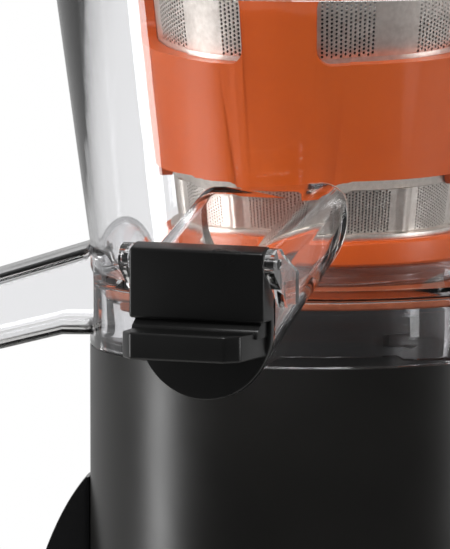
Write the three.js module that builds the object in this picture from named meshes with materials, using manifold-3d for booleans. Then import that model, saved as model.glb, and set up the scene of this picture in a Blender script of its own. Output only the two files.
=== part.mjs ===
// A vertical slow juicer: a motor base, a clear juice bowl with a spout and a pulp chute, a strainer with a
// perforated steel sieve, a pressing screw, a lid with a feed tube and a pusher.
// Millimetres, +Z up. The juicer's own axis is the axis of the screw. The finished group is moved so that the
// origin is the centre of the footprint box, on the surface that the feet stand on.
import * as THREE from "three";
import { mergeVertices } from "three/addons/utils/BufferGeometryUtils.js";
import Module from "manifold-3d";

const wasm = await Module();
wasm.setup();

// ---------------------------------------------------------------- driving dimensions
const GAP = 0.3; // clearance between a piece and the one that it is fitted into
const BEARING_FIT = 0.15; // clearance of a shaft or a pin in its bearing
const RUNNING_GAP = 0.8; // clearance between the screw and the sieve
const EDGE = 1.5; // the bevel on the outer rims of the moulded covers

// Base
const FOOT_HEIGHT = 4;
const FOOT_RADIUS = 9;
const FRONT_FOOT_INSET = 14; // from the front cylinder's face to the middle of a front foot
const REAR_FOOT_INSET = 15;
const COVER_THICKNESS = 4;
const VENT_COUNT = 6; // slots under the motor
const VENT_PITCH = 8.8;
const VENT_HALF_WIDTH = 1.5;
const VENT_HALF_LENGTH = 18;
const MOTOR_SEAT_INNER = 30; // the ring on the bottom cover that carries the motor
const MOTOR_SEAT_OUTER = 38;
const COVER_SCREW_HEAD_RADIUS = 3.6;
const COVER_SCREW_HEAD_HEIGHT = 2;
const BASE_RADIUS = 70;
const BASE_WALL = 3;
const BASE_TOP = 168; // the shoulder that the bowl stands on
const NECK_RADIUS = 40;
const NECK_HEIGHT = 18;
const NECK_WALL = 3;
const NECK_LEDGE = 4; // the shoulder's inner edge, inside the neck
const LUG_COUNT = 3;
const LUG_PROUD = 2.2;
const LUG_HALF = 6;
const LUG_LOW = 5;
const LUG_HIGH = 9;
const REAR_BULGE = 24; // how far the rear housing stands out from the front cylinder
const REAR_RADIUS = BASE_RADIUS + REAR_BULGE;
const REAR_WALL = 3;
const REAR_TOP_BELOW_RIM = 42;
const REAR_WIDEST_Z = 40;
const REAR_LIP = 1; // how far its top edge stands out from the front cylinder
const REAR_CUT = 0.9; // the share of its ellipse's height where it is cut off
const FRONT_HALF_ANGLE = THREE.MathUtils.degToRad(67); // the plain front, each side of -Y

// Motor and gear train
const MOTOR_RADIUS = 45;
const MOTOR_WALL = 2.5;
const MOTOR_BOTTOM = 10;
const MOTOR_TOP = 98;
const STATOR_HEIGHT = 38;
const ROTOR_RADIUS = 22;
const ROTOR_SHAFT_RADIUS = 4;
const PINION_BORE_RADIUS = 2.5;
const AIR_GAP = 0.6;
const GEAR_DISTANCE = 30; // between the main axis and the countershaft
const FIRST_MODULE = 1;
const FIRST_PINION_TEETH = 10;
const FIRST_GEAR_TEETH = 50;
const SECOND_MODULE = 1.25;
const SECOND_PINION_TEETH = 10;
const SECOND_GEAR_TEETH = 38;
const GEARBOX_RADIUS = 60.5;
const GEARBOX_WALL = 3;
const GEARBOX_FLOOR = 5;
const GEARBOX_HEIGHT = 34;
const COLLAR_HEIGHT = 9; // the gearbox lid's collar round the output bush
const COUNTERSHAFT_RADIUS = 3.5;
const DRIVE_SHAFT_RADIUS = 7;
const DRIVE_HEX_FLATS = 11;
const SHAFT_SEAL_WIDTH = 5;
const DRIVE_TOP_ABOVE_RIM = 45;

// Control knob
const KNOB_RADIUS = 16;
const KNOB_DEPTH = 13;
const KNOB_STAND_OFF = 0.8;
const KNOB_BORE_DEPTH = 8;
const SWITCH_HALF = 13;
const SWITCH_DEPTH = 14;
const KNOB_Z = 72;
const SPINDLE_RADIUS = 3;

// Cord gland at the back
const GLAND_RADIUS = 8;
const CORD_HOLE_RADIUS = 3.6;
const GLAND_Z = 24;

// Bowl, heights above the base's shoulder
const BOWL_WALL = 2.6;
const SKIRT_TOP = 31.9; // where the straight skirt turns into the flared wall
const BOWL_HEIGHT = 124;
const BOWL_FLARE = 0.136; // growth of the radius for each millimetre of height
const FLOOR_TOP = 28.3;
const FLOOR_EDGE_TOP = 23;
const FLOOR_THICKNESS = 3.2;
const COLLAR_CLEARANCE = 3.4; // from the neck to the inside of the bowl's collar, past the lugs
const COLLAR_RADIUS = NECK_RADIUS + COLLAR_CLEARANCE + BOWL_WALL;
const HUB_RADIUS = 17;
const HUB_TOP = 34;
const LOCK_BAND_LOW = 7.6; // the thicker band round the inside of the skirt
const LOCK_BAND_HIGH = 16.5;

// Juice spout, along -Y
const SPOUT_OFFSET_X = 13; // the spout's middle plane, beside the main axis
const SPOUT_WALL = 2.6;
const SPOUT_EMBEDDED = 10; // how far the spout's root starts inside the skirt
const SPOUT_LENGTH = 44.8; // from the skirt to the mouth
const SPOUT_ROOT_REACH = BASE_RADIUS - SPOUT_EMBEDDED; // reaches are counted from the main axis
const SPOUT_MOUTH_REACH = BASE_RADIUS + SPOUT_LENGTH;
const SPOUT_ROOT_HALF = 23;
const SPOUT_MOUTH_HALF = 21.2;
const SPOUT_ROOT_TOP = 59.3;
const SPOUT_ROOT_BOTTOM = 25.1;
const SPOUT_MOUTH_TOP = 40.3;
const SPOUT_MOUTH_BOTTOM = -3;

// Juice cap, hinged on two ears at the mouth
const CAP_OVERLAP = 1; // how far the plate reaches below the mouth
const CAP_HALF = SPOUT_MOUTH_HALF + GAP;
const CAP_BOTTOM = SPOUT_MOUTH_BOTTOM - CAP_OVERLAP;
const CAP_PLATE_THICKNESS = 2.5;
const CAP_SEAL_THICKNESS = 1.1;
const HINGE_REACH = SPOUT_MOUTH_REACH + 5.7;
const HINGE_HEIGHT = SPOUT_MOUTH_TOP - 2.8;
const CAP_BLOCK_DEPTH = 10.2;
const CAP_BLOCK_HEIGHT = 20.7;
const CAP_BLOCK_TOP = HINGE_HEIGHT + 3.4;
const CAP_BLOCK_BACK_TOP = HINGE_HEIGHT + 5.2;
const CAP_BLOCK_BOTTOM = CAP_BLOCK_TOP - CAP_BLOCK_HEIGHT;
const CAP_BLOCK_FACE_REACH = SPOUT_MOUTH_REACH + CAP_BLOCK_DEPTH;
const CAP_LEDGE_DEPTH = 24.4;
const CAP_LEDGE_DROP = 4.2; // from the block to the top of the finger ledge
const CAP_LEDGE_THICKNESS = 7.5;
const CAP_LEDGE_REACH = SPOUT_MOUTH_REACH + CAP_LEDGE_DEPTH;
const CAP_LEDGE_TOP = CAP_BLOCK_BOTTOM - CAP_LEDGE_DROP;
const CAP_LEDGE_BOTTOM = CAP_LEDGE_TOP - CAP_LEDGE_THICKNESS;
const CAP_LEDGE_HALF = CAP_HALF - 5;
const HINGE_PIN_RADIUS = 1.5;
const EAR_THICKNESS = 3;
const EAR_RADIUS = 4.6;

// Pulp chute
const CHUTE_ANGLE = THREE.MathUtils.degToRad(200); // the way it points, from +X
const CHUTE_HALF_WIDTH = 17;
const CHUTE_WALL = 2.8;
const CHUTE_TOP_AT_WALL = 30.6;
const CHUTE_SLOPE = 0.305;
const CHUTE_BOTTOM = 3.2;
const CHUTE_LENGTH = 42; // from the skirt to the chute's mouth
const CHUTE_REACH = BASE_RADIUS + CHUTE_LENGTH;
const CHUTE_INNER_REACH = COLLAR_RADIUS + 1;

// Strainer
const SIEVE_THICKNESS = 0.6;
const SIEVE_BOTTOM = 36;
const TOP_RING_TOP = BOWL_HEIGHT - 3;
const SIEVE_TOP = TOP_RING_TOP - 3;
const SIEVE_BOTTOM_RADIUS = 42.2; // outside
const STRAINER_FLARE = 0.145;
const SIEVE_FLANGE_RADIUS = 45;
const SIEVE_FLANGE_THICKNESS = 1.5;
const RING_RADIUS = 48;
const RING_PLATE_THICKNESS = 2.7;
const BAND_THICKNESS = 5.2;
const BAND_BOTTOM = 54;
const BAND_TOP = 88.6;
const TONGUE_DROP = 4;
const TONGUE_HALF_ANGLE = THREE.MathUtils.degToRad(16);
const PILLAR_COUNT = 4;
const PILLAR_ANGLE = THREE.MathUtils.degToRad(-79.5);
const PILLAR_HALF_ANGLE = THREE.MathUtils.degToRad(12);
const TOP_RING_HEIGHT = 11;
const TOP_RING_BOTTOM = TOP_RING_TOP - TOP_RING_HEIGHT;

// Pressing screw
const SCREW_BOTTOM = 34.5;
const SCREW_TOP = SIEVE_TOP - 2;
const SCREW_CORE_BOTTOM_RADIUS = 33;
const SCREW_CORE_TOP_RADIUS = 13;
const SCREW_TURNS = 2.5;
const SCREW_STARTS = 2;
const SCREW_FLIGHT_THICKNESS = 3.4;
const SCREW_PIN_RADIUS = 6;
const BUSH_WALL = 3;
const SCREW_PIN_TOP = SCREW_TOP + 15;
const SOCKET_RADIUS = 12.5;
const SOCKET_BOTTOM = 29.5;
const SOCKET_TOP = DRIVE_TOP_ABOVE_RIM + 8;

// Lid, feed tube and pusher
const LID_THICKNESS = 3;
const LID_SKIRT = 13;
const LID_SKIRT_WALL = 2.6;
const LID_SKIRT_CLEARANCE = 1.4; // from the bowl's rim to the inside of the lid's skirt
const LID_SEAL_THICKNESS = 0.8;
const LID_HUB_RADIUS = 10.5;
const FEED_RADIUS = 19.5; // inside the tube
const FEED_WALL = 2.5;
const FEED_OFFSET = 33; // from the main axis, along -Y
const FEED_HEIGHT = 92;
const LOCATING_RING_HEIGHT = 10;
const LOCATING_RING_WALL = 2.5;
const PUSHER_INSERTION = 62;
const PUSHER_CLEARANCE = 0.6;
const PUSHER_HEAD_RADIUS = 25;
const PUSHER_HEAD_HEIGHT = 16;
const PUSHER_WALL = 2.2;

// Facets round a circle
const FINE = 32;
const MEDIUM = 20;
const COARSE = 12;
const STEPS_PER_TURN = 14; // along the screw's flights

// ---------------------------------------------------------------- materials
const finish = (color, roughness, metalness = 0, opacity = 1) =>
  new THREE.MeshStandardMaterial({ color, roughness, metalness, opacity, transparent: opacity < 1 });
const satinBlack = finish(0x1b1b1d, 0.42);
const glossBlack = finish(0x141416, 0.25);
const clearPlastic = finish(0xf2f3f5, 0.05, 0, 0.3);
const orangePlastic = finish(0xc8501c, 0.45);
const orangeSilicone = finish(0xb65a2c, 0.6);
const sieveSteel = finish(0xb9b6b0, 0.3, 1);
const shaftSteel = finish(0xa8a8aa, 0.35, 1);
const electricalSteel = finish(0x6e7074, 0.5, 0.9);
const copperWire = finish(0xa4592d, 0.4, 0.9);
const castAlloy = finish(0x9da0a3, 0.5, 0.9);
const bronze = finish(0x8c6a3b, 0.45, 0.9);
const whiteGear = finish(0xdad7cc, 0.5);
const blackRubber = finish(0x222224, 0.85);
const greySilicone = finish(0x8d8f92, 0.7);
const darkScrew = finish(0x5b5b5f, 0.5);

// ---------------------------------------------------------------- solids
// A closed geometry as a solid that can be joined and cut. Faces that have shrunk to a line are dropped.
function solidOf(geometry) {
  const bare = new THREE.BufferGeometry().setAttribute("position", geometry.getAttribute("position"));
  if (geometry.index) bare.setIndex(geometry.index);
  const merged = mergeVertices(bare.index ? bare.toNonIndexed() : bare, 1e-4);
  const corners = merged.attributes.position.array;
  const faces = [];
  for (let i = 0; i < merged.index.count; i += 3) {
    const [a, b, c] = merged.index.array.slice(i, i + 3);
    if (a !== b && b !== c && a !== c) faces.push(a, b, c);
  }
  const build = (list) => {
    const mesh = new wasm.Mesh({ numProp: 3, vertProperties: corners, triVerts: new Uint32Array(list) });
    return new wasm.Manifold(mesh);
  };
  const made = build(faces);
  return made.volume() < 0 ? build(faces.reverse()) : made;
}

// A profile of [radius, height] pairs turned about the vertical axis. A profile that never meets the axis is
// a ring and closes on itself.
function turned(profile, segments = FINE) {
  const points = profile.map(([r, z]) => new THREE.Vector2(r, z));
  if (profile.every(([r]) => r > 0)) points.push(points[0].clone());
  return solidOf(new THREE.LatheGeometry(points, segments).rotateX(Math.PI / 2));
}

const disc = (radius, low, high, segments = MEDIUM) =>
  turned([[0, low], [radius, low], [radius, high], [0, high]], segments);

// The corner radius of a hole with flat facets that a round piece of this radius just passes through.
const holeRadius = (radius, segments) => radius / Math.cos(Math.PI / segments);

const bore = (radius, low, high, segments = COARSE) =>
  disc(holeRadius(radius, segments), low, high, segments);

function ring(inner, outer, low, high, segments = MEDIUM) {
  const hole = holeRadius(inner, segments);
  return turned([[hole, low], [outer, low], [outer, high], [hole, high]], segments);
}

const block = (x0, x1, y0, y1, z0, z1) =>
  solidOf(new THREE.BoxGeometry(x1 - x0, y1 - y0, z1 - z0)
    .translate((x0 + x1) / 2, (y0 + y1) / 2, (z0 + z1) / 2));

// A round bar along +Y from y0 to y1.
const barAlongY = (radius, x, z, y0, y1, segments = COARSE) =>
  solidOf(new THREE.CylinderGeometry(radius, radius, y1 - y0, segments).translate(x, (y0 + y1) / 2, z));

const boreAlongY = (radius, x, z, y0, y1) => barAlongY(holeRadius(radius, COARSE), x, z, y0, y1);

// A round bar along X with its middle at x = middle.
const barAlongX = (radius, middle, y, z, length) =>
  solidOf(new THREE.CylinderGeometry(radius, radius, length, COARSE)
    .rotateZ(Math.PI / 2)
    .translate(middle, y, z));

// A shape drawn on X and height, pushed along -Y from reach0 to reach1.
const slab = (shape, reach0, reach1, curveSegments = 8) =>
  solidOf(new THREE.ExtrudeGeometry(shape, { depth: reach1 - reach0, bevelEnabled: false, curveSegments })
    .rotateX(Math.PI / 2)
    .translate(0, -reach0, 0));

// A shape drawn on reach along -Y and on height, from x0 to x1.
const sideSlab = (shape, x0, x1) =>
  solidOf(new THREE.ExtrudeGeometry(shape, { depth: x1 - x0, bevelEnabled: false, curveSegments: 6 })
    .rotateX(Math.PI / 2)
    .rotateZ(-Math.PI / 2)
    .translate(x1, 0, 0));

// A shape drawn on reach and height, as wide as 2 * half across the direction at this angle from +X.
const webAt = (shape, half, angle) =>
  solidOf(new THREE.ExtrudeGeometry(shape, { depth: 2 * half, bevelEnabled: false, curveSegments: 8 })
    .rotateX(Math.PI / 2)
    .translate(0, half, 0)
    .rotateZ(angle));

const polygon = (points) => new THREE.Shape(points.map(([a, b]) => new THREE.Vector2(a, b)));

const at = (solid, x, y, z = 0) => solid.translate([x, y, z]);
const polar = (radius, angle) => [radius * Math.cos(angle), radius * Math.sin(angle)];

// A skin through several closed outlines, each a list of [x, y, z] with the same number of points.
function lofted(outlines) {
  const n = outlines[0].length;
  const corners = outlines.flat(2);
  const faces = [];
  for (let k = 0; k + 1 < outlines.length; k++) {
    for (let i = 0; i < n; i++) {
      const a = k * n + i;
      const b = k * n + ((i + 1) % n);
      faces.push(a, b, b + n, a, b + n, a + n);
    }
  }
  const last = (outlines.length - 1) * n;
  for (let i = 1; i + 1 < n; i++) {
    faces.push(0, i + 1, i, last, last + i, last + i + 1);
  }
  const geometry = new THREE.BufferGeometry();
  geometry.setAttribute("position", new THREE.Float32BufferAttribute(corners, 3));
  geometry.setIndex(faces);
  return solidOf(geometry);
}

const juicer = new THREE.Group();

// Adds a finished solid to the group as one named mesh.
function add(name, solid, material) {
  const { numProp, numVert, vertProperties, triVerts } = solid.getMesh();
  const positions = new Float32Array(numVert * 3);
  for (let i = 0; i < numVert; i++) {
    positions.set(vertProperties.subarray(i * numProp, i * numProp + 3), i * 3);
  }
  const geometry = new THREE.BufferGeometry();
  geometry.setAttribute("position", new THREE.BufferAttribute(positions, 3));
  geometry.setIndex(new THREE.BufferAttribute(triVerts.slice(), 1));
  geometry.computeVertexNormals();
  const mesh = new THREE.Mesh(geometry, material);
  mesh.name = name;
  juicer.add(mesh);
}

// ---------------------------------------------------------------- values shared by several pieces
const COVER_TOP = FOOT_HEIGHT + COVER_THICKNESS;
const bowlZ = (height) => BASE_TOP + height; // a height above the shoulder as a height above the table
const bowlRadius = (height) => BASE_RADIUS + BOWL_FLARE * Math.max(0, height - SKIRT_TOP);
const sieveRadius = (height) => SIEVE_BOTTOM_RADIUS + STRAINER_FLARE * (height - SIEVE_BOTTOM);
const FRONT = -Math.PI / 2;

// The rear housing's radius at a height above the table: an upright ellipse, cut off at the front cylinder.
const REAR_TOP = BASE_TOP - REAR_TOP_BELOW_RIM;
const REAR_TOP_RADIUS = BASE_RADIUS + GAP + REAR_LIP;
const REAR_CUT_ROOT = Math.sqrt(1 - REAR_CUT * REAR_CUT);
const REAR_ELLIPSE_CENTRE = (REAR_TOP_RADIUS - REAR_RADIUS * REAR_CUT_ROOT) / (1 - REAR_CUT_ROOT);
function rearRadius(z) {
  const rise = (REAR_CUT * Math.max(0, z - REAR_WIDEST_Z)) / (REAR_TOP - REAR_WIDEST_Z);
  return REAR_ELLIPSE_CENTRE + (REAR_RADIUS - REAR_ELLIPSE_CENTRE) * Math.sqrt(1 - rise * rise);
}

// The wedge in front that the rear housing leaves to the plain front, and the clearance beside it.
function frontWedge(margin) {
  const reach = 3 * REAR_RADIUS;
  const left = polar(reach, FRONT - FRONT_HALF_ANGLE);
  const right = polar(reach, FRONT + FRONT_HALF_ANGLE);
  const shape = polygon([
    [0, margin],
    [left[0], left[1] + margin],
    [0, -2 * reach],
    [right[0], right[1] + margin],
  ]);
  return solidOf(new THREE.ExtrudeGeometry(shape, { depth: 3 * BASE_TOP, bevelEnabled: false })
    .translate(0, 0, -BASE_TOP));
}

// ---------------------------------------------------------------- base
const BOSS_RADIUS = 5;
const BOSS_TOP = 26;
const SCREW_SHANK_RADIUS = 2;
const coverScrewSpots = [-60, 60, 120, 240].map((degrees) => {
  const angle = FRONT + THREE.MathUtils.degToRad(degrees);
  return polar(BASE_RADIUS - BASE_WALL - BOSS_RADIUS + 1, angle);
});
const GEARBOX_BOTTOM = MOTOR_TOP;
const GEARBOX_TOP = GEARBOX_BOTTOM + GEARBOX_HEIGHT;
const GEARBOX_LID_THICKNESS = 5;
const POST_RADIUS = 6;
const gearboxPostSpots = [30, 150, 270].map((degrees) =>
  polar(GEARBOX_RADIUS - 2 * POST_RADIUS, THREE.MathUtils.degToRad(degrees)));

function makeBaseHousing() {
  const inside = BASE_RADIUS - BASE_WALL;
  const hole = NECK_RADIUS - NECK_WALL - NECK_LEDGE;
  let shell = turned([
    [inside, COVER_TOP],
    [BASE_RADIUS, COVER_TOP],
    [BASE_RADIUS, BASE_TOP - EDGE],
    [BASE_RADIUS - EDGE, BASE_TOP],
    [hole, BASE_TOP],
    [hole, BASE_TOP - BASE_WALL],
    [inside, BASE_TOP - BASE_WALL],
  ]);
  for (const [x, y] of coverScrewSpots) {
    const boss = disc(BOSS_RADIUS, COVER_TOP, BOSS_TOP, COARSE);
    const thread = bore(SCREW_SHANK_RADIUS + GAP, COVER_TOP - 1, BOSS_TOP - 3);
    shell = shell.add(at(boss, x, y)).subtract(at(thread, x, y));
  }
  for (const [x, y] of gearboxPostSpots) {
    const post = disc(POST_RADIUS, GEARBOX_TOP + GEARBOX_LID_THICKNESS, BASE_TOP - BASE_WALL / 2, COARSE);
    shell = shell.add(at(post, x, y));
  }
  shell = shell.subtract(boreAlongY(SPINDLE_RADIUS + GAP, 0, KNOB_Z, -BASE_RADIUS - 5, -BASE_RADIUS + 10));
  add("base_housing", shell, satinBlack);
}

// The space inside the rear housing's outer surface, shrunk by inset, without the wedge in front.
function rearBody(inset) {
  const steps = 7;
  const profile = [[0, COVER_TOP - inset], [REAR_RADIUS - inset, COVER_TOP - inset]];
  for (let i = 0; i <= steps; i++) {
    const t = Math.sin(((i / steps) * Math.PI) / 2);
    const z = REAR_WIDEST_Z + (REAR_TOP - REAR_WIDEST_Z) * t;
    profile.push([rearRadius(z) - inset, z - inset * t]);
  }
  profile.push([0, REAR_TOP - inset]);
  return turned(profile).subtract(frontWedge(inset));
}

function makeRearHousing() {
  const shell = rearBody(0)
    .subtract(rearBody(REAR_WALL))
    .subtract(disc(BASE_RADIUS + GAP, 0, BASE_TOP, FINE))
    .subtract(boreAlongY(GLAND_RADIUS + GAP, 0, GLAND_Z, REAR_RADIUS - 12, REAR_RADIUS + 5));
  add("rear_housing", shell, glossBlack);
}

function makeBottomCover() {
  let plate = disc(REAR_RADIUS, FOOT_HEIGHT, COVER_TOP, FINE)
    .subtract(frontWedge(0))
    .add(disc(BASE_RADIUS, FOOT_HEIGHT, COVER_TOP, FINE));
  plate = plate.add(ring(MOTOR_SEAT_INNER, MOTOR_SEAT_OUTER, COVER_TOP - 1, MOTOR_BOTTOM));
  for (const [x, y] of coverScrewSpots) {
    plate = plate.subtract(at(bore(SCREW_SHANK_RADIUS + GAP, 0, 2 * COVER_TOP), x, y));
  }
  for (let i = 0; i < VENT_COUNT; i++) {
    const y = VENT_PITCH * (i - (VENT_COUNT - 1) / 2);
    const low = y - VENT_HALF_WIDTH;
    const high = y + VENT_HALF_WIDTH;
    plate = plate.subtract(block(-VENT_HALF_LENGTH, VENT_HALF_LENGTH, low, high, 0, 2 * COVER_TOP));
  }
  add("bottom_cover", plate, satinBlack);
}

function makeFeet() {
  const spots = {
    foot_front_left: polar(BASE_RADIUS - FRONT_FOOT_INSET, FRONT - Math.PI / 4),
    foot_front_right: polar(BASE_RADIUS - FRONT_FOOT_INSET, FRONT + Math.PI / 4),
    foot_rear_left: polar(REAR_RADIUS - REAR_FOOT_INSET, Math.PI - Math.PI / 4),
    foot_rear_right: polar(REAR_RADIUS - REAR_FOOT_INSET, Math.PI / 4),
  };
  for (const [name, [x, y]] of Object.entries(spots)) {
    const pad = turned([[0, 0], [FOOT_RADIUS - 1, 0], [FOOT_RADIUS, 1], [FOOT_RADIUS, FOOT_HEIGHT],
      [0, FOOT_HEIGHT]], COARSE);
    add(name, at(pad, x, y), blackRubber);
  }
}

function makeCoverScrews() {
  const names = ["front_left", "front_right", "rear_right", "rear_left"];
  coverScrewSpots.forEach(([x, y], i) => {
    const screw = disc(COVER_SCREW_HEAD_RADIUS, FOOT_HEIGHT - COVER_SCREW_HEAD_HEIGHT, FOOT_HEIGHT, COARSE)
      .add(disc(SCREW_SHANK_RADIUS, FOOT_HEIGHT - 1, BOSS_TOP - 5, COARSE));
    add("cover_screw_" + names[i], at(screw, x, y), darkScrew);
  });
}

function makeNeck() {
  const top = bowlZ(NECK_HEIGHT);
  const inside = NECK_RADIUS - NECK_WALL;
  const sealSeat = DRIVE_SHAFT_RADIUS + SHAFT_SEAL_WIDTH;
  let neck = turned([
    [inside, BASE_TOP],
    [NECK_RADIUS, BASE_TOP],
    [NECK_RADIUS, top - EDGE],
    [NECK_RADIUS - EDGE, top],
    [sealSeat, top],
    [sealSeat, top - NECK_WALL],
    [inside, top - NECK_WALL],
  ]);
  for (let i = 0; i < LUG_COUNT; i++) {
    const lug = block(NECK_RADIUS - 1, NECK_RADIUS + LUG_PROUD, -LUG_HALF, LUG_HALF, bowlZ(LUG_LOW),
      bowlZ(LUG_HIGH));
    neck = neck.add(lug.rotate([0, 0, 90 + (360 * i) / LUG_COUNT]));
  }
  add("bayonet_neck", neck, satinBlack);
  const seal = ring(DRIVE_SHAFT_RADIUS + GAP, sealSeat - GAP, top - NECK_WALL, top + EDGE);
  add("shaft_seal", seal, blackRubber);
}

function makeControls() {
  const face = -BASE_RADIUS;
  const knobBack = face - KNOB_STAND_OFF;
  let knob = barAlongY(KNOB_RADIUS, 0, KNOB_Z, knobBack - KNOB_DEPTH, knobBack, MEDIUM);
  knob = knob.add(block(-2.5, 2.5, knobBack - KNOB_DEPTH - 2, knobBack - 2, KNOB_Z - KNOB_RADIUS + 1,
    KNOB_Z + KNOB_RADIUS - 1));
  knob = knob.subtract(boreAlongY(SPINDLE_RADIUS + GAP, 0, KNOB_Z, knobBack - KNOB_BORE_DEPTH, knobBack + 1));
  add("control_knob", knob, glossBlack);
  const switchFront = face + BASE_WALL + 2;
  const spindle = barAlongY(SPINDLE_RADIUS, 0, KNOB_Z, knobBack - KNOB_BORE_DEPTH + 0.5, switchFront - GAP);
  add("knob_spindle", spindle, whiteGear);
  const body = block(-SWITCH_HALF, SWITCH_HALF, switchFront, switchFront + SWITCH_DEPTH, KNOB_Z - SWITCH_HALF,
    KNOB_Z + SWITCH_HALF);
  const bracket = block(-9, 9, switchFront + 2, switchFront + 6, COVER_TOP, KNOB_Z - SWITCH_HALF + 1);
  add("rotary_switch", body.add(bracket), satinBlack);
}

function makeCordGland() {
  const y0 = REAR_RADIUS - REAR_WALL - 4;
  let gland = barAlongY(GLAND_RADIUS, 0, GLAND_Z, y0, REAR_RADIUS + 3)
    .add(barAlongY(GLAND_RADIUS + 3, 0, GLAND_Z, REAR_RADIUS + GAP, REAR_RADIUS + 3));
  gland = gland.subtract(barAlongY(CORD_HOLE_RADIUS, 0, GLAND_Z, y0 - 1, REAR_RADIUS + 6));
  add("cord_gland", gland, blackRubber);
}

// ---------------------------------------------------------------- motor
const STATOR_MIDDLE = (MOTOR_BOTTOM + MOTOR_TOP) / 2;
const STATOR_LOW = STATOR_MIDDLE - STATOR_HEIGHT / 2;
const STATOR_HIGH = STATOR_MIDDLE + STATOR_HEIGHT / 2;
const BEARING_RADIUS = 11;
const BEARING_HEIGHT = 7;
const ROTOR_SHAFT_TOP = GEARBOX_BOTTOM + GEARBOX_FLOOR + 13;

function makeMotor() {
  const inside = MOTOR_RADIUS - MOTOR_WALL;
  const seat = BEARING_RADIUS + GAP;
  const end = 3; // thickness of an end bell
  const halfBell = (outside, face, mouth, sign) => turned([
    [ROTOR_SHAFT_RADIUS + 1.5, outside],
    [MOTOR_RADIUS, outside],
    [MOTOR_RADIUS, mouth],
    [inside, mouth],
    [inside, face],
    [seat + 2.5, face],
    [seat + 2.5, face + sign * BEARING_HEIGHT],
    [seat, face + sign * BEARING_HEIGHT],
    [seat, face],
    [ROTOR_SHAFT_RADIUS + 1.5, face],
  ], MEDIUM);
  add("motor_bell_lower", halfBell(MOTOR_BOTTOM, MOTOR_BOTTOM + end, STATOR_MIDDLE - GAP / 2, 1), castAlloy);
  add("motor_bell_upper", halfBell(MOTOR_TOP, MOTOR_TOP - end, STATOR_MIDDLE + GAP / 2, -1), castAlloy);
  const bearing = (low) =>
    ring(ROTOR_SHAFT_RADIUS + BEARING_FIT, BEARING_RADIUS, low, low + BEARING_HEIGHT, COARSE);
  add("motor_bearing_lower", bearing(MOTOR_BOTTOM + end), bronze);
  add("motor_bearing_upper", bearing(MOTOR_TOP - end - BEARING_HEIGHT), bronze);
  const gapRadius = ROTOR_RADIUS + AIR_GAP;
  add("stator_core", ring(gapRadius, inside - GAP, STATOR_LOW, STATOR_HIGH), electricalSteel);
  add("winding_lower", ring(gapRadius + 3, inside - 6, STATOR_LOW - 12, STATOR_LOW, COARSE), copperWire);
  add("winding_upper", ring(gapRadius + 3, inside - 6, STATOR_HIGH, STATOR_HIGH + 12, COARSE), copperWire);
  add("rotor_core", ring(ROTOR_SHAFT_RADIUS + GAP, ROTOR_RADIUS, STATOR_LOW, STATOR_HIGH), electricalSteel);
  const shaft = disc(ROTOR_SHAFT_RADIUS, MOTOR_BOTTOM + 1, GEARS_Z - GAP, COARSE)
    .add(disc(PINION_BORE_RADIUS - GAP, MOTOR_BOTTOM + 1, ROTOR_SHAFT_TOP, COARSE));
  add("rotor_shaft", shaft, shaftSteel);
}

// ---------------------------------------------------------------- gear train
// Straight-sided teeth on a round blank. A tooth points along +X. Teeth are a little thin, for backlash.
function gearOutline(teeth, module, boreRadius) {
  const pitch = (module * teeth) / 2;
  const tip = pitch + 0.9 * module;
  const root = pitch - 1.2 * module;
  const step = (2 * Math.PI) / teeth;
  const points = [];
  for (let i = 0; i < teeth; i++) {
    for (const [radius, share] of [[root, -0.34], [tip, -0.1], [tip, 0.1], [root, 0.34]]) {
      points.push(polar(radius, (i + share) * step));
    }
  }
  const shape = polygon(points);
  shape.holes.push(new THREE.Path().absarc(0, 0, boreRadius, 0, 2 * Math.PI, true));
  return shape;
}

const gear = (teeth, module, bore, low, high) =>
  solidOf(new THREE.ExtrudeGeometry(gearOutline(teeth, module, bore),
    { depth: high - low, bevelEnabled: false, curveSegments: 10 }).translate(0, 0, low));

const GEARS_Z = GEARBOX_BOTTOM + GEARBOX_FLOOR + 4;
const [COUNTER_X, COUNTER_Y] = [0, GEAR_DISTANCE];
const COUNTER_DIRECTION = 90; // degrees from +X, from the main axis to the countershaft

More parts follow.
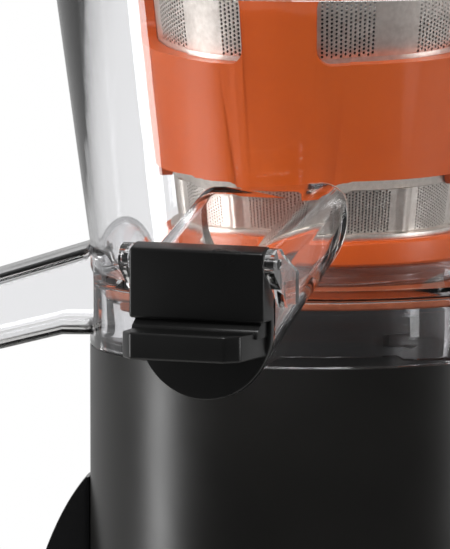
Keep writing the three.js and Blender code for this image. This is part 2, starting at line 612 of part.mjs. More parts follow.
function makeGearTrain() {
  // The first pinion has a tooth towards the countershaft, and its gear a gap towards the pinion.
  const pinion = gear(FIRST_PINION_TEETH, FIRST_MODULE, PINION_BORE_RADIUS, GEARS_Z, GEARS_Z + 7)
    .rotate([0, 0, COUNTER_DIRECTION]);
  add("motor_pinion", pinion, shaftSteel);
  const large = gear(FIRST_GEAR_TEETH, FIRST_MODULE, COUNTERSHAFT_RADIUS + GAP, GEARS_Z + 0.5, GEARS_Z + 6.5)
    .rotate([0, 0, COUNTER_DIRECTION + 180 + 180 / FIRST_GEAR_TEETH]);
  add("intermediate_gear", at(large, COUNTER_X, COUNTER_Y), whiteGear);
  const secondLow = GEARS_Z + 8;
  const secondHigh = secondLow + 10;
  const counterBore = COUNTERSHAFT_RADIUS + GAP;
  const small = gear(SECOND_PINION_TEETH, SECOND_MODULE, counterBore, secondLow - 1.2, secondHigh)
    .rotate([0, 0, COUNTER_DIRECTION + 180]);
  add("intermediate_pinion", at(small, COUNTER_X, COUNTER_Y), shaftSteel);
  const driveBore = DRIVE_SHAFT_RADIUS + GAP;
  const output = gear(SECOND_GEAR_TEETH, SECOND_MODULE, driveBore, secondLow + 1, secondHigh - 1)
    .rotate([0, 0, COUNTER_DIRECTION + 180 / SECOND_GEAR_TEETH]);
  add("output_gear", output, whiteGear);
  const counter = disc(COUNTERSHAFT_RADIUS, GEARBOX_BOTTOM + 2, GEARBOX_TOP + 2, COARSE);
  add("countershaft", at(counter, COUNTER_X, COUNTER_Y), shaftSteel);

  const hexRadius = DRIVE_HEX_FLATS / Math.sqrt(3);
  const hexBottom = bowlZ(NECK_HEIGHT + 4);
  const shaft = disc(DRIVE_SHAFT_RADIUS, ROTOR_SHAFT_TOP + GAP, hexBottom, MEDIUM)
    .add(disc(hexRadius, hexBottom - 1, bowlZ(DRIVE_TOP_ABOVE_RIM), 6));
  add("drive_shaft", shaft, shaftSteel);
}

function makeGearbox() {
  const floor = GEARBOX_BOTTOM + GEARBOX_FLOOR;
  let housing = turned([
    [ROTOR_SHAFT_RADIUS + 1.5, GEARBOX_BOTTOM],
    [GEARBOX_RADIUS, GEARBOX_BOTTOM],
    [GEARBOX_RADIUS, GEARBOX_TOP],
    [GEARBOX_RADIUS - GEARBOX_WALL, GEARBOX_TOP],
    [GEARBOX_RADIUS - GEARBOX_WALL, floor],
    [ROTOR_SHAFT_RADIUS + 1.5, floor],
  ], MEDIUM);
  const pocket = bore(COUNTERSHAFT_RADIUS + BEARING_FIT, GEARBOX_BOTTOM + 2 - GAP, GEARBOX_TOP + 2 + GAP);
  housing = housing.subtract(at(pocket, COUNTER_X, COUNTER_Y));
  add("gearbox_housing", housing, castAlloy);

  const bushRadius = DRIVE_SHAFT_RADIUS + 4;
  const lidTop = GEARBOX_TOP + GEARBOX_LID_THICKNESS;
  let lid = turned([
    [bushRadius + GAP, GEARBOX_TOP],
    [GEARBOX_RADIUS, GEARBOX_TOP],
    [GEARBOX_RADIUS, lidTop],
    [bushRadius + 4, lidTop],
    [bushRadius + 4, lidTop + COLLAR_HEIGHT],
    [bushRadius + GAP, lidTop + COLLAR_HEIGHT],
  ], MEDIUM);
  const blind = bore(COUNTERSHAFT_RADIUS + BEARING_FIT, GEARBOX_TOP - 1, GEARBOX_TOP + 2 + GAP);
  lid = lid.subtract(at(blind, COUNTER_X, COUNTER_Y));
  add("gearbox_lid", lid, castAlloy);
  const bushTop = lidTop + COLLAR_HEIGHT;
  const bush = ring(DRIVE_SHAFT_RADIUS + BEARING_FIT, bushRadius, GEARBOX_TOP, bushTop, COARSE);
  add("output_bush", bush, bronze);
}

// ---------------------------------------------------------------- juice bowl
const hingeBar = (radius, length) =>
  barAlongX(radius, SPOUT_OFFSET_X, -HINGE_REACH, bowlZ(HINGE_HEIGHT), length);

// The section of the spout at one reach: half round below, flat on top with rounded corners, shrunk by inset.
function spoutSection(reach, half, bottom, top, inset) {
  const h = half - inset;
  const low = bottom + inset;
  const high = top - inset;
  const corner = Math.max(1, 7 - inset);
  const points = [];
  const arc = (cx, cz, r, from, to, steps) => {
    for (let i = 0; i <= steps; i++) {
      const angle = from + ((to - from) * i) / steps;
      points.push([SPOUT_OFFSET_X + cx + r * Math.cos(angle), -reach, bowlZ(cz + r * Math.sin(angle))]);
    }
  };
  arc(0, low + h, h, Math.PI, 2 * Math.PI, 16);
  arc(h - corner, high - corner, corner, 0, Math.PI / 2, 4);
  arc(corner - h, high - corner, corner, Math.PI / 2, Math.PI, 4);
  return points;
}

// The spout's half width, bottom and top at a reach, on straight lines from its root to its mouth.
function spoutAt(reach, inset) {
  const t = (reach - SPOUT_ROOT_REACH) / (SPOUT_MOUTH_REACH - SPOUT_ROOT_REACH);
  const mix = (a, b) => a + (b - a) * t;
  return spoutSection(reach, mix(SPOUT_ROOT_HALF, SPOUT_MOUTH_HALF),
    mix(SPOUT_ROOT_BOTTOM, SPOUT_MOUTH_BOTTOM), mix(SPOUT_ROOT_TOP, SPOUT_MOUTH_TOP), inset);
}

// The chute's outline on reach and height, shrunk by inset.
function chuteOutline(inset, from, to) {
  const top = (reach) => CHUTE_TOP_AT_WALL - CHUTE_SLOPE * Math.max(0, reach - BASE_RADIUS) - inset;
  const flat = BASE_RADIUS + 8;
  const bottom = (reach) => CHUTE_BOTTOM - 0.8 * CHUTE_SLOPE * Math.max(0, reach - flat) + inset;
  const roof = Math.min(top(from), FLOOR_EDGE_TOP - inset);
  return polygon([
    [from, bowlZ(bottom(from))],
    [flat, bowlZ(bottom(flat))],
    [to, bowlZ(bottom(to))],
    [to, bowlZ(top(to))],
    [BASE_RADIUS, bowlZ(top(BASE_RADIUS))],
    [BASE_RADIUS - BOWL_WALL - 1, bowlZ(roof)],
    [from, bowlZ(roof)],
  ]);
}

// Everything inside the bowl's outer surface, for trimming what is added to the bowl.
const bowlInside = () => turned([
  [0, bowlZ(FLOOR_EDGE_TOP)],
  [BASE_RADIUS - BOWL_WALL, bowlZ(FLOOR_EDGE_TOP)],
  [BASE_RADIUS - BOWL_WALL, bowlZ(SKIRT_TOP)],
  [bowlRadius(BOWL_HEIGHT) - BOWL_WALL, bowlZ(BOWL_HEIGHT)],
  [0, bowlZ(BOWL_HEIGHT)],
]);

function makeBowl() {
  const wallInside = BASE_RADIUS - BOWL_WALL;
  const skirtInside = wallInside - 0.8;
  const under = FLOOR_EDGE_TOP - FLOOR_THICKNESS;
  const seatUnder = FLOOR_TOP - FLOOR_THICKNESS;
  let bowl = turned([
    [BASE_RADIUS, bowlZ(0)],
    [BASE_RADIUS, bowlZ(SKIRT_TOP)],
    [bowlRadius(BOWL_HEIGHT), bowlZ(BOWL_HEIGHT)],
    [bowlRadius(BOWL_HEIGHT) - BOWL_WALL, bowlZ(BOWL_HEIGHT)],
    [wallInside, bowlZ(SKIRT_TOP)],
    [wallInside, bowlZ(FLOOR_EDGE_TOP)],
    [RING_RADIUS + 3, bowlZ(FLOOR_TOP)],
    [HUB_RADIUS, bowlZ(FLOOR_TOP)],
    [HUB_RADIUS, bowlZ(HUB_TOP)],
    [HUB_RADIUS - BOWL_WALL, bowlZ(HUB_TOP)],
    [HUB_RADIUS - BOWL_WALL, bowlZ(seatUnder)],
    [COLLAR_RADIUS - BOWL_WALL, bowlZ(seatUnder)],
    [COLLAR_RADIUS - BOWL_WALL, bowlZ(2)],
    [COLLAR_RADIUS, bowlZ(2)],
    [COLLAR_RADIUS, bowlZ(seatUnder)],
    [skirtInside - 12, bowlZ(under)],
    [skirtInside, bowlZ(under)],
    [skirtInside, bowlZ(LOCK_BAND_HIGH)],
    [skirtInside - 1, bowlZ(LOCK_BAND_HIGH)],
    [skirtInside - 1, bowlZ(LOCK_BAND_LOW)],
    [skirtInside, bowlZ(LOCK_BAND_LOW)],
    [skirtInside, bowlZ(0)],
  ]);

  // The spout's outer skin, less what would lie inside the bowl, with the ears of the cap's hinge.
  const skin = lofted([spoutAt(SPOUT_ROOT_REACH, 0), spoutAt(SPOUT_MOUTH_REACH, 0)]).subtract(bowlInside());
  const channel = lofted([
    spoutAt(SPOUT_ROOT_REACH - 6, SPOUT_WALL),
    spoutAt(SPOUT_MOUTH_REACH + 1, SPOUT_WALL),
  ]);
  const belowFloor = turned([
    [0, bowlZ(-20)],
    [wallInside + 1, bowlZ(-20)],
    [wallInside + 1, bowlZ(FLOOR_EDGE_TOP)],
    [RING_RADIUS + 3, bowlZ(FLOOR_TOP)],
    [0, bowlZ(FLOOR_TOP)],
  ]);
  bowl = bowl.add(skin);
  for (const side of [-1, 1]) {
    const inner = SPOUT_OFFSET_X + side * (CAP_HALF + GAP);
    const outer = inner + side * EAR_THICKNESS;
    const [x0, x1] = [Math.min(inner, outer), Math.max(inner, outer)];
    const earShape = new THREE.Shape()
      .moveTo(HINGE_REACH - 20, bowlZ(14))
      .lineTo(SPOUT_MOUTH_REACH, bowlZ(10))
      .lineTo(HINGE_REACH + EAR_RADIUS, bowlZ(HINGE_HEIGHT))
      .absarc(HINGE_REACH, bowlZ(HINGE_HEIGHT), EAR_RADIUS, 0, Math.PI / 2, false)
      .lineTo(HINGE_REACH - 20, bowlZ(HINGE_HEIGHT - 2));
    const ear = sideSlab(earShape, x0, x1);
    const bridge = block(Math.min(inner - side * 3, outer), Math.max(inner - side * 3, outer),
      -SPOUT_MOUTH_REACH, -(HINGE_REACH - 16), bowlZ(16), bowlZ(26));
    bowl = bowl.add(ear).add(bridge);
  }
  bowl = bowl.subtract(channel.subtract(belowFloor));
  bowl = bowl.subtract(hingeBar(holeRadius(HINGE_PIN_RADIUS + BEARING_FIT, COARSE), 4 * CAP_HALF));

  // The pulp chute: a duct from beside the neck, out through the skirt.
  const duct = webAt(chuteOutline(0, COLLAR_RADIUS - 1, CHUTE_REACH), CHUTE_HALF_WIDTH, CHUTE_ANGLE);
  const ductBore = webAt(chuteOutline(CHUTE_WALL, CHUTE_INNER_REACH, CHUTE_REACH + 2),
    CHUTE_HALF_WIDTH - CHUTE_WALL, CHUTE_ANGLE);
  bowl = bowl.add(duct).subtract(ductBore);
  const dropHole = webAt(polygon([
    [CHUTE_INNER_REACH - 14, bowlZ(FLOOR_TOP + 1)],
    [CHUTE_INNER_REACH - 14, bowlZ(seatUnder - 1)],
    [CHUTE_INNER_REACH - 4, bowlZ(seatUnder - 6)],
    [CHUTE_INNER_REACH + 2, bowlZ(CHUTE_BOTTOM + CHUTE_WALL)],
    [CHUTE_INNER_REACH + 2, bowlZ(seatUnder - 3)],
    [CHUTE_INNER_REACH - 3, bowlZ(FLOOR_TOP + 1)],
  ]), 8, CHUTE_ANGLE);
  bowl = bowl.subtract(dropHole);
  add("juice_bowl", bowl, clearPlastic);

  add("cap_hinge_pin", hingeBar(HINGE_PIN_RADIUS, 2 * (CAP_HALF + GAP + EAR_THICKNESS)), shaftSteel);

  const lip = ring(SOCKET_RADIUS + GAP, HUB_RADIUS - BOWL_WALL - GAP, bowlZ(seatUnder), bowlZ(HUB_TOP));
  add("bowl_shaft_seal", lip, greySilicone);
  let gasket = ring(skirtInside - 8, skirtInside - 1.2, bowlZ(under - 2.6), bowlZ(under), FINE);
  const beside = 0.5; // from the gasket to the duct
  const ductRoom = webAt(
    chuteOutline(-beside, CHUTE_INNER_REACH - 20, CHUTE_REACH),
    CHUTE_HALF_WIDTH + beside,
    CHUTE_ANGLE,
  );
  gasket = gasket.subtract(ductRoom);
  add("skirt_gasket", gasket, orangeSilicone);
}

// ---------------------------------------------------------------- juice cap
function makeCap() {
  const plateBack = SPOUT_MOUTH_REACH + GAP + CAP_SEAL_THICKNESS;
  const plateFront = plateBack + CAP_PLATE_THICKNESS;
  const centre = CAP_BOTTOM + CAP_HALF;
  const plateShape = new THREE.Shape()
    .moveTo(SPOUT_OFFSET_X + CAP_HALF, bowlZ(centre))
    .lineTo(SPOUT_OFFSET_X + CAP_HALF, bowlZ(CAP_BLOCK_BOTTOM + 4))
    .lineTo(SPOUT_OFFSET_X - CAP_HALF, bowlZ(CAP_BLOCK_BOTTOM + 4))
    .lineTo(SPOUT_OFFSET_X - CAP_HALF, bowlZ(centre))
    .absarc(SPOUT_OFFSET_X, bowlZ(centre), CAP_HALF, Math.PI, 2 * Math.PI, false);
  let cap = slab(plateShape, plateBack, plateFront, 14);
  const face = CAP_BLOCK_FACE_REACH;
  const sideShape = polygon([
    [plateBack, bowlZ(CAP_BLOCK_BOTTOM)],
    [face, bowlZ(CAP_BLOCK_BOTTOM)],
    [face, bowlZ(CAP_BLOCK_TOP)],
    [HINGE_REACH - 1, bowlZ(CAP_BLOCK_BACK_TOP)],
    [plateBack, bowlZ(HINGE_HEIGHT)],
  ]);
  const blockSolid = sideSlab(sideShape, SPOUT_OFFSET_X - CAP_HALF, SPOUT_OFFSET_X + CAP_HALF);
  const ledgeShape = new THREE.Shape([
    new THREE.Vector2(SPOUT_OFFSET_X - CAP_HALF + 1.5, -plateFront + 0.5),
    new THREE.Vector2(SPOUT_OFFSET_X - CAP_LEDGE_HALF - 1, -CAP_LEDGE_REACH),
    new THREE.Vector2(SPOUT_OFFSET_X + CAP_LEDGE_HALF, -CAP_LEDGE_REACH),
    new THREE.Vector2(SPOUT_OFFSET_X + CAP_HALF - 1.5, -plateFront + 0.5),
  ]);
  const ledge = solidOf(new THREE.ExtrudeGeometry(ledgeShape,
    { depth: CAP_LEDGE_THICKNESS, bevelEnabled: false }).translate(0, 0, bowlZ(CAP_LEDGE_BOTTOM)));
  const hole = hingeBar(holeRadius(HINGE_PIN_RADIUS + BEARING_FIT, COARSE), 4 * CAP_HALF);
  cap = cap.add(blockSolid).add(ledge).subtract(hole);
  add("juice_cap", cap, satinBlack);

  const sealOutline = (reach, inset) =>
    spoutSection(reach, SPOUT_MOUTH_HALF, SPOUT_MOUTH_BOTTOM, SPOUT_MOUTH_TOP - 4, inset);
  const outer = sealOutline(SPOUT_MOUTH_REACH + GAP, 0.6);
  const inner = sealOutline(SPOUT_MOUTH_REACH, 3.4);
  const shift = (points, reach) => points.map(([x, , z]) => [x, -reach, z]);
  const seal = lofted([outer, shift(outer, plateBack)])
    .subtract(lofted([shift(inner, plateBack - 5), shift(inner, plateBack + 5)]));
  add("cap_seal", seal, greySilicone);
}

// ---------------------------------------------------------------- strainer
// A stretch of a cone shell between two heights, cut to the angles from middle - half to middle + half.
function coneSector(inner, outer, low, high, middle, half) {
  const whole = turned([[inner(low), bowlZ(low)], [outer(low), bowlZ(low)], [outer(high), bowlZ(high)],
    [inner(high), bowlZ(high)]]);
  const reach = 200;
  const a = polar(reach, middle - half);
  const b = polar(reach, middle + half);
  const wedge = solidOf(new THREE.ExtrudeGeometry(polygon([[0, 0], a, b]),
    { depth: BASE_TOP * 2, bevelEnabled: false }));
  return whole.intersect(wedge);
}

function makeStrainer() {
  const inside = (h) => sieveRadius(h) - SIEVE_THICKNESS;
  const sieve = turned([
    [inside(SIEVE_BOTTOM), bowlZ(SIEVE_BOTTOM)],
    [SIEVE_FLANGE_RADIUS, bowlZ(SIEVE_BOTTOM)],
    [SIEVE_FLANGE_RADIUS, bowlZ(SIEVE_BOTTOM + SIEVE_FLANGE_THICKNESS)],
    [sieveRadius(SIEVE_BOTTOM + SIEVE_FLANGE_THICKNESS), bowlZ(SIEVE_BOTTOM + SIEVE_FLANGE_THICKNESS)],
    [sieveRadius(SIEVE_TOP), bowlZ(SIEVE_TOP)],
    [inside(SIEVE_TOP), bowlZ(SIEVE_TOP)],
  ]);
  add("strainer_sieve", sieve, sieveSteel);

  const plateTop = FLOOR_TOP + RING_PLATE_THICKNESS;
  let base = turned([
    [HUB_RADIUS + 2, bowlZ(FLOOR_TOP)],
    [RING_RADIUS, bowlZ(FLOOR_TOP)],
    [RING_RADIUS, bowlZ(SIEVE_BOTTOM)],
    [inside(SIEVE_BOTTOM), bowlZ(SIEVE_BOTTOM)],
    [inside(SIEVE_BOTTOM), bowlZ(plateTop)],
    [HUB_RADIUS + 2, bowlZ(plateTop)],
  ]);
  const pulpHole = webAt(polygon([
    [CHUTE_INNER_REACH - 15, bowlZ(FLOOR_TOP - 1)],
    [CHUTE_INNER_REACH - 6, bowlZ(FLOOR_TOP - 1)],
    [CHUTE_INNER_REACH - 6, bowlZ(plateTop + 1)],
    [CHUTE_INNER_REACH - 15, bowlZ(plateTop + 1)],
  ]), 9, CHUTE_ANGLE);
  base = base.subtract(pulpHole);
  add("strainer_base_ring", base, orangePlastic);

  const bandInner = (h) => sieveRadius(h) + GAP;
  const bandOuter = (h) => sieveRadius(h) + BAND_THICKNESS;
  let frame = turned([
    [bandInner(BAND_BOTTOM), bowlZ(BAND_BOTTOM)],
    [bandOuter(BAND_BOTTOM) - 1.5, bowlZ(BAND_BOTTOM)],
    [bandOuter(BAND_BOTTOM + 2), bowlZ(BAND_BOTTOM + 2)],
    [bandOuter(BAND_TOP - 2), bowlZ(BAND_TOP - 2)],
    [bandOuter(BAND_TOP) - 1.5, bowlZ(BAND_TOP)],
    [bandInner(BAND_TOP), bowlZ(BAND_TOP)],
  ]);
  frame = frame.add(turned([
    [bandInner(TOP_RING_BOTTOM), bowlZ(TOP_RING_BOTTOM)],
    [bandOuter(TOP_RING_BOTTOM), bowlZ(TOP_RING_BOTTOM)],
    [bandOuter(TOP_RING_TOP), bowlZ(TOP_RING_TOP)],
    [sieveRadius(SIEVE_TOP) + GAP, bowlZ(TOP_RING_TOP)],
    [sieveRadius(SIEVE_TOP) + GAP, bowlZ(SIEVE_TOP)],
  ]));
  for (let i = 0; i < PILLAR_COUNT; i++) {
    const middle = PILLAR_ANGLE + (i * 2 * Math.PI) / PILLAR_COUNT;
    const pillar = coneSector(bandInner, bandOuter, BAND_TOP - 3, TOP_RING_BOTTOM + 2,
      middle, PILLAR_HALF_ANGLE);
    const tongue = coneSector(bandInner, (h) => bandOuter(h) - 1, BAND_BOTTOM - TONGUE_DROP, BAND_BOTTOM + 3,
      middle, TONGUE_HALF_ANGLE);
    frame = frame.add(pillar).add(tongue);
  }
  add("strainer_frame", frame, orangePlastic);
}

// ---------------------------------------------------------------- pressing screw
function makeScrew() {
  const inside = (h) => sieveRadius(Math.max(h, SIEVE_BOTTOM)) - SIEVE_THICKNESS - RUNNING_GAP;
  const coreAt = (h) => {
    const t = (h - SCREW_BOTTOM) / (SCREW_TOP - SCREW_BOTTOM);
    return SCREW_CORE_BOTTOM_RADIUS + (SCREW_CORE_TOP_RADIUS - SCREW_CORE_BOTTOM_RADIUS) * t;
  };
  let screw = turned([
    [0, bowlZ(SCREW_PIN_TOP)],
    [SCREW_PIN_RADIUS, bowlZ(SCREW_PIN_TOP)],
    [SCREW_PIN_RADIUS, bowlZ(SCREW_TOP + 2)],
    [SCREW_CORE_TOP_RADIUS, bowlZ(SCREW_TOP)],
    [SCREW_CORE_BOTTOM_RADIUS, bowlZ(SCREW_BOTTOM)],
    [HUB_RADIUS + 3, bowlZ(SCREW_BOTTOM)],
    [HUB_RADIUS + 3, bowlZ(HUB_TOP + 3)],
    [SOCKET_RADIUS + GAP, bowlZ(HUB_TOP + 3)],
    [SOCKET_RADIUS + GAP, bowlZ(SOCKET_TOP)],
    [0, bowlZ(SOCKET_TOP)],
  ], MEDIUM);
  for (let start = 0; start < SCREW_STARTS; start++) {
    const outlines = [];
    const steps = Math.round(SCREW_TURNS * STEPS_PER_TURN);
    for (let i = 0; i <= steps; i++) {
      const t = i / steps;
      const climb = (SCREW_TOP - SCREW_BOTTOM - 8) * Math.pow(t, 0.8);
      const h = SCREW_BOTTOM + 1 + SCREW_FLIGHT_THICKNESS / 2 + climb;
      const angle = (2 * Math.PI * start) / SCREW_STARTS - t * SCREW_TURNS * 2 * Math.PI;
      const low = h - SCREW_FLIGHT_THICKNESS / 2;
      const high = h + SCREW_FLIGHT_THICKNESS / 2;
      const corner = (radius, height) => [...polar(radius, angle), bowlZ(height)];
      const root = coreAt(high) - 2;
      outlines.push([corner(root, low), corner(inside(low), low + 0.6), corner(inside(low), high - 0.6),
        corner(root, high)]);
    }
    screw = screw.add(lofted(outlines));
  }
  add("pressing_screw", screw, glossBlack);
  const hexRadius = (DRIVE_HEX_FLATS + 2 * GAP) / Math.sqrt(3);
  const socket = disc(SOCKET_RADIUS, bowlZ(SOCKET_BOTTOM), bowlZ(SOCKET_TOP))
    .subtract(disc(hexRadius, bowlZ(SOCKET_BOTTOM - 1), bowlZ(DRIVE_TOP_ABOVE_RIM + 1), 6));
  add("screw_drive_socket", socket, shaftSteel);
}

// ---------------------------------------------------------------- lid, feed tube and pusher
const LID_SEAT = BOWL_HEIGHT + LID_SEAL_THICKNESS; // the lid's underside, on the seal on the bowl's rim
const LID_RADIUS = bowlRadius(BOWL_HEIGHT) + LID_SKIRT_CLEARANCE + LID_SKIRT_WALL;
const TUBE_TOP = LID_SEAT + FEED_HEIGHT;

function makeLid() {
  const top = LID_SEAT + LID_THICKNESS;
  const skirtInner = LID_RADIUS - LID_SKIRT_WALL;
  const locating = sieveRadius(TOP_RING_TOP) + BAND_THICKNESS + GAP;
  const pocket = SCREW_PIN_RADIUS + BUSH_WALL;
  let lid = turned([
    [0, bowlZ(SCREW_PIN_TOP + 5)],
    [LID_HUB_RADIUS + 2, bowlZ(SCREW_PIN_TOP + 5)],
    [LID_HUB_RADIUS + 4, bowlZ(top)],
    [LID_RADIUS - 2, bowlZ(top)],
    [LID_RADIUS, bowlZ(top - 2)],
    [LID_RADIUS, bowlZ(LID_SEAT - LID_SKIRT)],
    [skirtInner, bowlZ(LID_SEAT - LID_SKIRT)],
    [skirtInner, bowlZ(LID_SEAT)],
    [locating + LOCATING_RING_WALL, bowlZ(LID_SEAT)],
    [locating + LOCATING_RING_WALL, bowlZ(LID_SEAT - LOCATING_RING_HEIGHT)],
    [locating, bowlZ(LID_SEAT - LOCATING_RING_HEIGHT)],
    [locating, bowlZ(LID_SEAT)],
    [LID_HUB_RADIUS + 2, bowlZ(LID_SEAT)],
    [LID_HUB_RADIUS + 2, bowlZ(SCREW_TOP + 4)],
    [pocket + GAP, bowlZ(SCREW_TOP + 4)],
    [pocket + GAP, bowlZ(SCREW_PIN_TOP + 1)],
    [0, bowlZ(SCREW_PIN_TOP + 1)],
  ]);
  const hole = bore(FEED_RADIUS, bowlZ(LID_SEAT - 30), bowlZ(TUBE_TOP), MEDIUM);
  const besideTube = disc(FEED_RADIUS + FEED_WALL + GAP, bowlZ(top), bowlZ(TUBE_TOP), MEDIUM);
  lid = lid.subtract(at(besideTube, 0, -FEED_OFFSET)).subtract(at(hole, 0, -FEED_OFFSET));
  add("lid", lid, clearPlastic);
  const tube = ring(FEED_RADIUS, FEED_RADIUS + FEED_WALL, bowlZ(top), bowlZ(TUBE_TOP), MEDIUM);
  add("feed_tube", at(tube, 0, -FEED_OFFSET), clearPlastic);
  const bush = ring(SCREW_PIN_RADIUS + GAP, pocket, bowlZ(SCREW_TOP + 5), bowlZ(SCREW_PIN_TOP + 1), COARSE);
  add("lid_bush", bush, whiteGear);
  const rim = bowlRadius(BOWL_HEIGHT);
  add("lid_seal", ring(rim - BOWL_WALL, rim, bowlZ(BOWL_HEIGHT), bowlZ(LID_SEAT), FINE), greySilicone);
}

function makePusher() {
  const radius = FEED_RADIUS - PUSHER_CLEARANCE;
  const low = TUBE_TOP - PUSHER_INSERTION;
  const pusher = turned([
    [0, bowlZ(low)],
    [radius - 1, bowlZ(low)],
    [radius, bowlZ(low + 1)],
    [radius, bowlZ(TUBE_TOP)],
    [PUSHER_HEAD_RADIUS, bowlZ(TUBE_TOP)],
    [PUSHER_HEAD_RADIUS, bowlZ(TUBE_TOP + PUSHER_HEAD_HEIGHT - 3)],
    [PUSHER_HEAD_RADIUS - 3, bowlZ(TUBE_TOP + PUSHER_HEAD_HEIGHT)],
    [radius - PUSHER_WALL, bowlZ(TUBE_TOP + PUSHER_HEAD_HEIGHT)],
    [radius - PUSHER_WALL, bowlZ(low + 3)],
    [0, bowlZ(low + 3)],
  ], MEDIUM);
  add("pusher", at(pusher, 0, -FEED_OFFSET), satinBlack);
}

makeBaseHousing();
makeRearHousing();
makeBottomCover();
makeFeet();
makeCoverScrews();
makeNeck();
makeControls();
makeCordGland();
makeMotor();
makeGearTrain();
makeGearbox();
makeBowl();
makeCap();
makeStrainer();
makeScrew();
makeLid();
makePusher();

// The origin: the centre of the footprint box, on the table.
const footprint = new THREE.Box3().setFromObject(juicer);
juicer.position.set(-(footprint.min.x + footprint.max.x) / 2, -(footprint.min.y + footprint.max.y) / 2, 0);

export default juicer;
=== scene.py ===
# %% [markdown]
# # A slow juicer, modelled around its engineering frame
# The engineering model already fixes where every piece is and how it moves. This lesson builds the surfaces that
# the eye sees around that frame: a clear juice bowl with a spout and a pulp chute, a black stopper on the spout,
# a perforated steel sieve in an orange frame, and a satin black motor base.
# Pieces are drawn in millimetres about the juicer's own axis, with height counted from the base's shoulder. One
# function moves a finished piece into the frame's metres, so every number in a drawing is one that could be
# measured on a bench.

# %% Load the fixed frame
import math

import bmesh
import bpy
from mathutils import Matrix, Vector


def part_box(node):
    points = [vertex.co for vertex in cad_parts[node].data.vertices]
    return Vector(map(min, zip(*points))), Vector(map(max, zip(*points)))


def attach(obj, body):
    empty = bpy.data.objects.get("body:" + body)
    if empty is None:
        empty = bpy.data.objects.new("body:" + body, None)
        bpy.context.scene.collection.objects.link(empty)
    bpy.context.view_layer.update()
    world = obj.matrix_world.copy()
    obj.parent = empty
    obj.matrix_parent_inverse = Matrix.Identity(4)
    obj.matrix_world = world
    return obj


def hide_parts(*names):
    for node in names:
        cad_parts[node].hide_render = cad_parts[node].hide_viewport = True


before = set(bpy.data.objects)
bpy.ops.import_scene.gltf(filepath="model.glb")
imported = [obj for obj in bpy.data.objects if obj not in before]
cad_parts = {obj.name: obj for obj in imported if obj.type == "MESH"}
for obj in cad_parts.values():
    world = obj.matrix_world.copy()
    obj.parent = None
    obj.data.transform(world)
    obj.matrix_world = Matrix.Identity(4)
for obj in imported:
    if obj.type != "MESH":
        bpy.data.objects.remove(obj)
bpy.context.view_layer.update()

MM = 0.001
TAU = 2 * math.pi
housing_low, housing_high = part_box("base_housing")
AXIS = (housing_low + housing_high) / 2
AXIS.z = housing_high.z
RIM = AXIS.z / MM  # the shoulder's height above the table
TO_FRAME = Matrix.Translation(AXIS) @ Matrix.Scale(MM, 4)
print("axis at", [round(v, 4) for v in AXIS], "shoulder at", round(RIM, 1), "mm")


def extent(node):
    """Lowest and highest corner of a node in millimetres about the juicer's axis, height from the shoulder."""
    low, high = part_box(node)
    return (low - AXIS) / MM, (high - AXIS) / MM


# %% [markdown]
# ## Helpers for shapes
# Nearly everything on a juicer is turned, so one helper spins an outline about the vertical axis, with its corners
# rounded first, the way a mould maker breaks every sharp edge. Others round edges, pull faces to a depth, and join
# or cut two solids with a Boolean modifier, which is how a spout grows out of a bowl. The last moves a finished
# piece into the frame, smooths it and gives it a body to ride on.

# %% Outline, spin and finish
def whole(bm):
    """Everything in a bmesh, as the operators want it."""
    return bm.verts[:] + bm.edges[:] + bm.faces[:]


def eased(bm, geom, width, segments, affect="EDGES"):
    """Rounds edges, or the corners of a flat outline, to this width."""
    bmesh.ops.bevel(bm, geom=geom, offset=width, offset_type="OFFSET", affect=affect, segments=segments,
                    profile=0.5, material=-1)


def moved(bm, vec):
    """Moves all of a bmesh and hands it back."""
    bmesh.ops.translate(bm, verts=bm.verts, vec=vec)
    return bm


def pulled(bm, faces, vec):
    """Extrudes faces and moves the new side by vec."""
    grown = bmesh.ops.extrude_face_region(bm, geom=faces)["geom"]
    new_verts = [g for g in grown if isinstance(g, bmesh.types.BMVert)]
    bmesh.ops.translate(bm, verts=new_verts, vec=vec)
    return new_verts


def arc(across, height, radius, start, turn, steps):
    """Points on an arc about (across, height), from the angle start through turn."""
    angles = [start + i / steps * turn for i in range(steps + 1)]
    return [(across + radius * math.cos(a), height + radius * math.sin(a)) for a in angles]


def outline(points, closed=False, rounding=0.0, segments=3):
    """A wire in the XZ plane through [radius, height] points, with its inner corners rounded."""
    bm = bmesh.new()
    verts = [bm.verts.new((r, 0, z)) for r, z in points]
    for a, b in zip(verts, verts[1:]):
        bm.edges.new((a, b))
    if closed:
        bm.edges.new((verts[-1], verts[0]))
    if rounding:
        corners = [v for v in bm.verts if len(v.link_edges) == 2 and v.co.x > 1e-6]
        eased(bm, corners, rounding, segments, "VERTICES")
    return bm


def spun(points, closed=False, rounding=0.0, steps=128, segments=3):
    """The outline turned once about the vertical axis and closed at its poles."""
    bm = outline(points, closed, rounding, segments)
    bmesh.ops.spin(bm, geom=bm.verts[:] + bm.edges[:], cent=(0, 0, 0), axis=(0, 0, 1), angle=TAU, steps=steps,
                   use_merge=True)
    bmesh.ops.remove_doubles(bm, verts=bm.verts, dist=1e-4)
    return bm


def added(bm, other, vec=(0, 0, 0)):
    """Puts other's mesh into bm, moved by vec, and frees it."""
    mesh = bpy.data.meshes.new("part")
    moved(other, vec).to_mesh(mesh)
    other.free()
    bm.from_mesh(mesh)
    bpy.data.meshes.remove(mesh)


def to_object(bm, name):
    """A bmesh as an object with its faces outwards, still in millimetres about the axis."""
    bmesh.ops.recalc_face_normals(bm, faces=bm.faces)
    mesh = bpy.data.meshes.new(name)
    bm.to_mesh(mesh)
    bm.free()
    piece = bpy.data.objects.new(name, mesh)
    bpy.context.scene.collection.objects.link(piece)
    return piece


